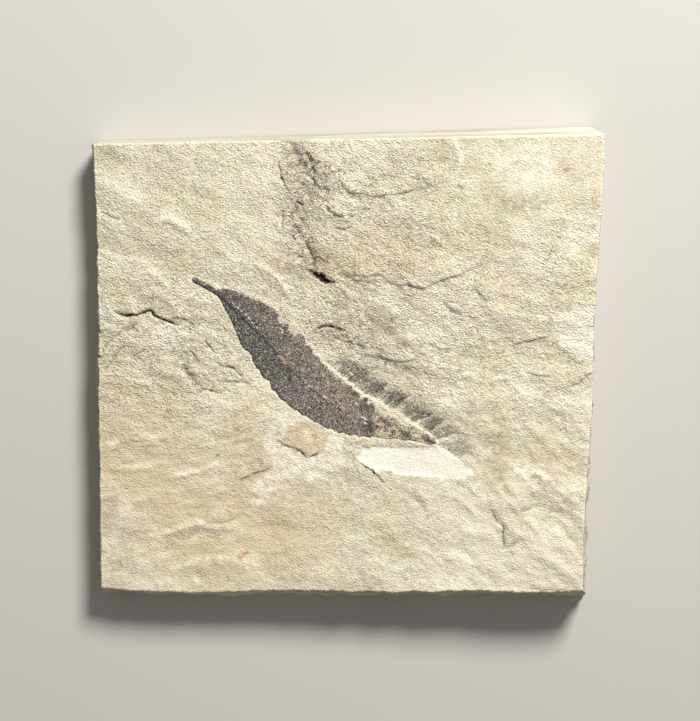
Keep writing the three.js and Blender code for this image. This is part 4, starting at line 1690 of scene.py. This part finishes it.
    def build(self) -> bpy.types.Object:
        """Builds the plate as one closed mesh: its face, its sides and back in rows, and a fan at the hub.

        Returns:
            The plate.
        """
        about_u, about_v = self.crowded_about
        u, v = np.meshgrid(self.crowded(self.cells_across, about_u), self.crowded(self.cells_up, about_v))
        x, y = self.plan(u, v)
        rise, covers = self.relief(x, y)
        top = np.stack([x, y, self.plane(x) + rise], axis=-1).reshape(-1, 3)
        from_side, from_end = np.minimum(u, 1 - u) * self.half_width, np.minimum(v, 1 - v) * self.half_depth
        rim_away = 2 * np.minimum(from_side, from_end) / self.rim_width
        chalk = covers[Tint.CHALK_AND_HIGHLIGHT.value]
        covers[Tint.CHALK_AND_HIGHLIGHT.value] = np.maximum(chalk, self.rim_chalk * np.exp(-(rim_away**2)))

        numbers = np.arange(x.size).reshape(x.shape)
        ring = np.concatenate([numbers[0, :-1], numbers[:-1, -1], numbers[-1, :0:-1], numbers[:0:-1, 0]])
        rim_u, rim_v = u.ravel()[ring], v.ravel()[ring]
        skirt, centre = self.skirt(top[ring], rim_u, rim_v)
        first = len(top)
        rows = first + np.arange(skirt.shape[0] * len(ring)).reshape(skirt.shape[0], len(ring))
        rows = np.concatenate([ring[None], rows], axis=0)
        rows = np.concatenate([rows, rows[:, :1]], axis=1)
        hub = first + skirt.shape[0] * len(ring)
        fan = np.stack([rows[-1, 1:], rows[-1, :-1], np.full(len(ring), hub)], axis=-1)
        faces = grid_faces(numbers).tolist() + grid_faces(rows)[:, ::-1].tolist() + fan.tolist()
        corners = np.concatenate([top, skirt.reshape(-1, 3), [[*centre, self.hub_height]]])

        beyond = len(corners) - first
        values = {name: np.concatenate([cover.ravel(), np.zeros(beyond)]) for name, cover in covers.items()}
        cut_wall = np.tile(np.where(rim_v == 1.0, 1.0, 0.0), skirt.shape[0])
        values["sawn"] = np.concatenate([np.zeros(first), self.sawn_tone * cut_wall, [0.0]])
        values["patch_depth"][first:] = -1.0
        values["speckle"][first:] = self.side_speckle
        values["speckle"][first:-1] -= self.sawn_smoothing * cut_wall
        values["chips"][first:-1] = self.side_chips * (1 - cut_wall)
        values["side"] = np.concatenate([np.zeros(first), np.ones(beyond)])
        return make_piece("limestone_plate", corners, faces, values)

    def dress(self, piece: bpy.types.Object, finish: Limestone) -> None:
        """Gives the plate its finish and its place in the frame."""
        piece.data.materials.append(finish.material())
        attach(piece, "root")
        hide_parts("stone_slab")


@dataclass
class LeafFilm:
    """The carbon film of the leaf and its stalk, lying on the stone.

    The film is a grid along the chord and across from the lower margin to the upper. Its top follows the
    stone and is thin at the margin, and its underside lies just inside the stone. All sizes are in mm.
    """

    blade: Blade
    slab: StoneSlab
    cells_along: int = 520
    cells_across: int = 80
    thickness: float = 0.12
    sunk: float = 0.2
    rib_height: float = 0.07
    edge_film: float = 0.02
    edge_width: float = 0.45
    rib_width: float = 0.3
    rib_begins: Span = (-3.0, 2.0)
    rib_fades: Span = (14.0, 34.0)
    vein_spacing: float = 2.7
    vein_angle: float = 48.0
    vein_width: float = 0.2
    lit_across: Span = (-1.5, 1.5)
    lit_along: Span = (-4.0, 18.0)
    thin_along: Span = (16.0, 42.0)
    tip_begins: Span = (47.5, 51.0)
    blotches: Roughness = Roughness(2.4, 1.0, octaves=4, gain=0.7, seed=200)
    streak: Trace = trace((45.3, -5.4), (47.2, -7.6), (49.0, -9.5))
    streak_width: float = 0.4
    chips: tuple[Spot, ...] = (
        (31.7, -6.3, 0.4, 0.2), (30.5, -6.2, 0.3, 0.2), (18.1, 1.55, 0.55, 0.2), (18.6, 1.2, 0.2, 0.4),
        (36.5, -6.3, 0.7, 0.2), (47.5, -5.2, 1.0, 0.2), (48.5, -6.1, 0.4, 0.25), (43.9, -3.3, 0.4, 0.25),
        (4.6, 0.1, 0.35, 0.2), (6.1, -0.1, 0.4, 0.2), (7.3, -0.3, 0.3, 0.2), (8.7, -0.4, 0.45, 0.2),
        (9.8, -0.7, 0.4, 0.2), (11.2, -1.2, 0.35, 0.2), (12.8, -1.5, 0.25, 0.2),
    )
    tan_chips: tuple[Spot, ...] = (
        (22.2, -4.4, 1.2, 0.35), (23.4, -4.9, 0.6, 0.4), (33.5, -5.4, 0.45, 0.45), (17.6, -7.7, 0.3, 0.3),
    )
    worn_spots: tuple[Spot, ...] = (
        (51.0, -1.9, 2.2, 0.9), (56.8, -1.6, 1.8, 0.9), (60.2, -1.0, 1.4, 1.2), (53.5, -5.9, 1.8, 0.8),
    )
    dark_spots: tuple[Spot, ...] = (
        (42.3, -1.5, 1.6, 0.8), (45.9, -2.6, 1.9, 1.3), (49.8, -6.6, 1.6, 1.5), (52.3, -3.0, 1.6, 0.8),
        (57.6, -2.4, 1.8, 0.7), (63.8, -0.5, 1.8, 0.6), (45.1, -1.2, 0.8, 0.7), (47.4, -1.7, 0.8, 0.8),
    )
    blue_spots: tuple[Spot, ...] = ((48.6, -6.0, 2.4, 2.2),)

    def marks(self, along: Grid, across: Grid) -> dict[str, Grid]:
        """Covers of the film's marks: its lit half, veins, thin, bluish and worn places, streak and chips.

        Args:
            along: Places along the chord.
            across: Places across it.

        Returns:
            For each mark its cover from 0 to 1.
        """

        def spots(places: tuple[Spot, ...], power: float = 1.0) -> Grid:
            """Spots, each with its middle, half length and half width: exp(-distance^(2 power))."""
            total = np.zeros_like(along)
            for at_along, at_across, length, width in places:
                away = ((along - at_along) / length) ** 2 + ((across - at_across) / width) ** 2
                total = np.maximum(total, np.exp(-(away**power)))
            return total

        side = across - self.blade.rib(along)
        lit = smooth_step(*self.lit_across, side) * smooth_step(*self.lit_along, along)
        midrib = np.exp(-((side / self.rib_width) ** 2)) * smooth_step(*self.rib_begins, along)
        midrib = midrib * (1 - 0.8 * smooth_step(*self.rib_fades, along))
        slant = (along - np.abs(side) / math.tan(math.radians(self.vein_angle))) / self.vein_spacing
        veins = np.exp(-(((slant - np.round(slant)) * self.vein_spacing / self.vein_width) ** 2))
        veins = veins * smooth_step(0.3, 1.2, np.abs(side))

        blotch = self.blotches.at(along, across)
        tip = smooth_step(*self.tip_begins, along + 0.4 * (across + 4.0))
        worn = tip * smooth_step(-0.3, 0.4, blotch + 0.9 * (spots(self.worn_spots) - spots(self.dark_spots)))
        streak = self.streak.measure(along, across)[0] / self.streak_width
        return {
            "lit_half": lit,
            "thin": smooth_step(*self.thin_along, along) * (0.55 + 0.3 * lit),
            "vein": np.clip(
                0.85 * midrib + 0.15 * veins * (1 - tip) + 0.6 * spots(self.dark_spots), 0.0, 1.0),
            "worn": np.clip(worn, 0.0, 0.9),
            "blue": 0.7 * spots(self.blue_spots),
            "streak": 0.55 * np.exp(-(streak**2)) * smooth_step(-0.6, 0.5, blotch),
            "chip": 0.95 * spots(self.chips, 3.0),
            "tan_chip": 0.75 * spots(self.tan_chips, 2.0),
            "speckle": np.ones_like(along),
        }

    def build(self) -> bpy.types.Object:
        """Builds the film as one closed mesh.

        Places across run from the lower margin at t = 0 to the upper at t = 1. The top stands above the
        stone by the thickness, eased to almost nothing at a margin, plus the midrib's low ridge.

        Returns:
            The leaf.
        """
        run = np.linspace(self.blade.start + 0.02, self.blade.tip - 0.01, self.cells_along + 1)
        along, t = np.meshgrid(run, np.linspace(0.0, 1.0, self.cells_across + 1), indexing="ij")
        lower, upper = self.blade.margins(along)
        across = lower + (upper - lower) * t
        x, y = self.blade.to_plate(along, across)
        stone = self.slab.plane(x) + self.slab.relief(x, y)[0]
        inwards = np.minimum(across - lower, upper - across)
        rib = self.blade.rib(along)
        ridge = self.rib_height * np.exp(-(((across - rib) / self.rib_width) ** 2))
        film = self.edge_film + self.thickness * smooth_step(0.0, self.edge_width, inwards)
        film = film + ridge * smooth_step(0.0, 0.8, inwards)
        top = np.stack([x, y, stone + film], axis=-1)
        under = np.stack([x, y, stone - self.sunk], axis=-1)

        upside = np.arange(x.size).reshape(x.shape)
        below = upside + x.size
        loop = [np.concatenate([n[:-1, 0], n[-1, :-1], n[:0:-1, -1], n[0, :0:-1]]) for n in (below, upside)]
        rim = np.stack([np.append(side, side[0]) for side in loop])
        faces = np.concatenate([grid_faces(upside.T), grid_faces(below.T)[:, ::-1], grid_faces(rim)])
        corners = np.concatenate([top.reshape(-1, 3), under.reshape(-1, 3)])
        covers = {name: np.tile(cover.ravel(), 2) for name, cover in self.marks(along, across).items()}
        return make_piece("leaf_film", corners, faces.tolist(), covers)

    def dress(self, piece: bpy.types.Object, finish: CarbonFilm) -> None:
        """Gives the leaf its finish and its place in the frame."""
        piece.data.materials.append(finish.material())
        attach(piece, "root")
        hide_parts("fossil_leaf")


@dataclass
class Studio:
    """A pale floor, a soft key light low from the sawn side, a soft fill, and the camera above the plate.

    Sizes are in mm and angles in degrees.
    """

    target: tuple[float, float, float] = (0.6, 3.05, 11.5)
    distance: float = 560.0
    tilt: float = 10.0
    focal_px: float = 2259.0
    sensor: float = 36.0
    nearest_seen: float = 10.0
    floor_size: float = 6000.0
    floor_colour: str = "C2C0BD"
    floor_roughness: float = 0.9
    key_direction: Point = (0.39, 0.92)
    key_height: float = 38.0
    key_distance: float = 900.0
    key_size: float = 260.0
    key_power: float = 12.95
    key_colour: str = "FFFCF6"
    fill_colour: str = "EBE8E2"
    fill_strength: float = 0.3

    def floor(self) -> None:
        """Lays a plain pale floor under the plate."""
        half = self.floor_size / 2
        corners = np.array([(-half, -half, 0.0), (half, -half, 0.0), (half, half, 0.0), (-half, half, 0.0)])
        floor = make_piece("studio_floor", corners, [[0, 1, 2, 3]], {})
        material = bpy.data.materials.new("matt_paper_floor")
        material.use_nodes = True
        shader = material.node_tree.nodes["Principled BSDF"]
        shader.inputs["Base Color"].default_value = hex_to_linear(self.floor_colour)
        shader.inputs["Roughness"].default_value = self.floor_roughness
        floor.data.materials.append(material)

    def lights(self) -> None:
        """Hangs the key light and sets the fill from all round."""
        scene = bpy.context.scene
        height = math.radians(self.key_height)
        level = Vector((*self.key_direction, 0.0)).normalized() * math.cos(height)
        towards = Vector((level.x, level.y, math.sin(height)))
        key = bpy.data.lights.new("key_softbox", "AREA")
        key.shape = "DISK"
        key.size = self.key_size * METRES_PER_MM
        key.energy = self.key_power
        key.color = hex_to_linear(self.key_colour)[:3]
        lamp = bpy.data.objects.new("key_softbox", key)
        lamp.location = towards * self.key_distance * METRES_PER_MM
        lamp.rotation_euler = towards.to_track_quat("Z", "Y").to_euler()
        scene.collection.objects.link(lamp)

        world = bpy.data.worlds.new("studio_fill")
        world.use_nodes = True
        background = world.node_tree.nodes["Background"]
        background.inputs["Color"].default_value = hex_to_linear(self.fill_colour)
        background.inputs["Strength"].default_value = self.fill_strength
        scene.world = world
        scene.view_settings.view_transform = "Standard"

    def camera(self) -> None:
        """Sets the camera above the plate, tilted towards the sawn edge, with the photo's field of view."""
        tilt = math.radians(self.tilt)
        target = Vector(self.target) * METRES_PER_MM
        back = Vector((0.0, math.sin(tilt), math.cos(tilt)))
        right = Vector((1.0, 0.0, 0.0))
        up = back.cross(right)
        data = bpy.data.cameras.new("camera")
        data.sensor_width = self.sensor
        data.lens = self.focal_px / IMAGE_HEIGHT_PX * self.sensor
        data.clip_start = self.nearest_seen * METRES_PER_MM
        camera = bpy.data.objects.new("camera", data)
        turn = Matrix((right, up, back)).transposed().to_4x4()
        camera.matrix_world = Matrix.Translation(target + back * self.distance * METRES_PER_MM) @ turn
        bpy.context.scene.collection.objects.link(camera)
        bpy.context.scene.camera = camera


def main() -> None:
    """Builds the plate, the leaf and the studio, and reports each piece."""
    logging.basicConfig(level=logging.INFO, format="%(name)s: %(message)s")
    _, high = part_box("stone_slab")
    half_width, half_depth, thick_end = (value / METRES_PER_MM for value in high)
    blade = Blade()
    slab = StoneSlab(half_width, half_depth, thick_end, blade)
    leaf = LeafFilm(blade, slab)
    for part, finish in ((slab, Limestone()), (leaf, CarbonFilm())):
        piece = part.build()
        part.dress(piece, finish)
        log.info("%s: %d faces, %s", piece.name, len(piece.data.polygons), finish.name)
    studio = Studio()
    studio.floor()
    studio.lights()
    studio.camera()


if __name__ == "__main__":
    main()
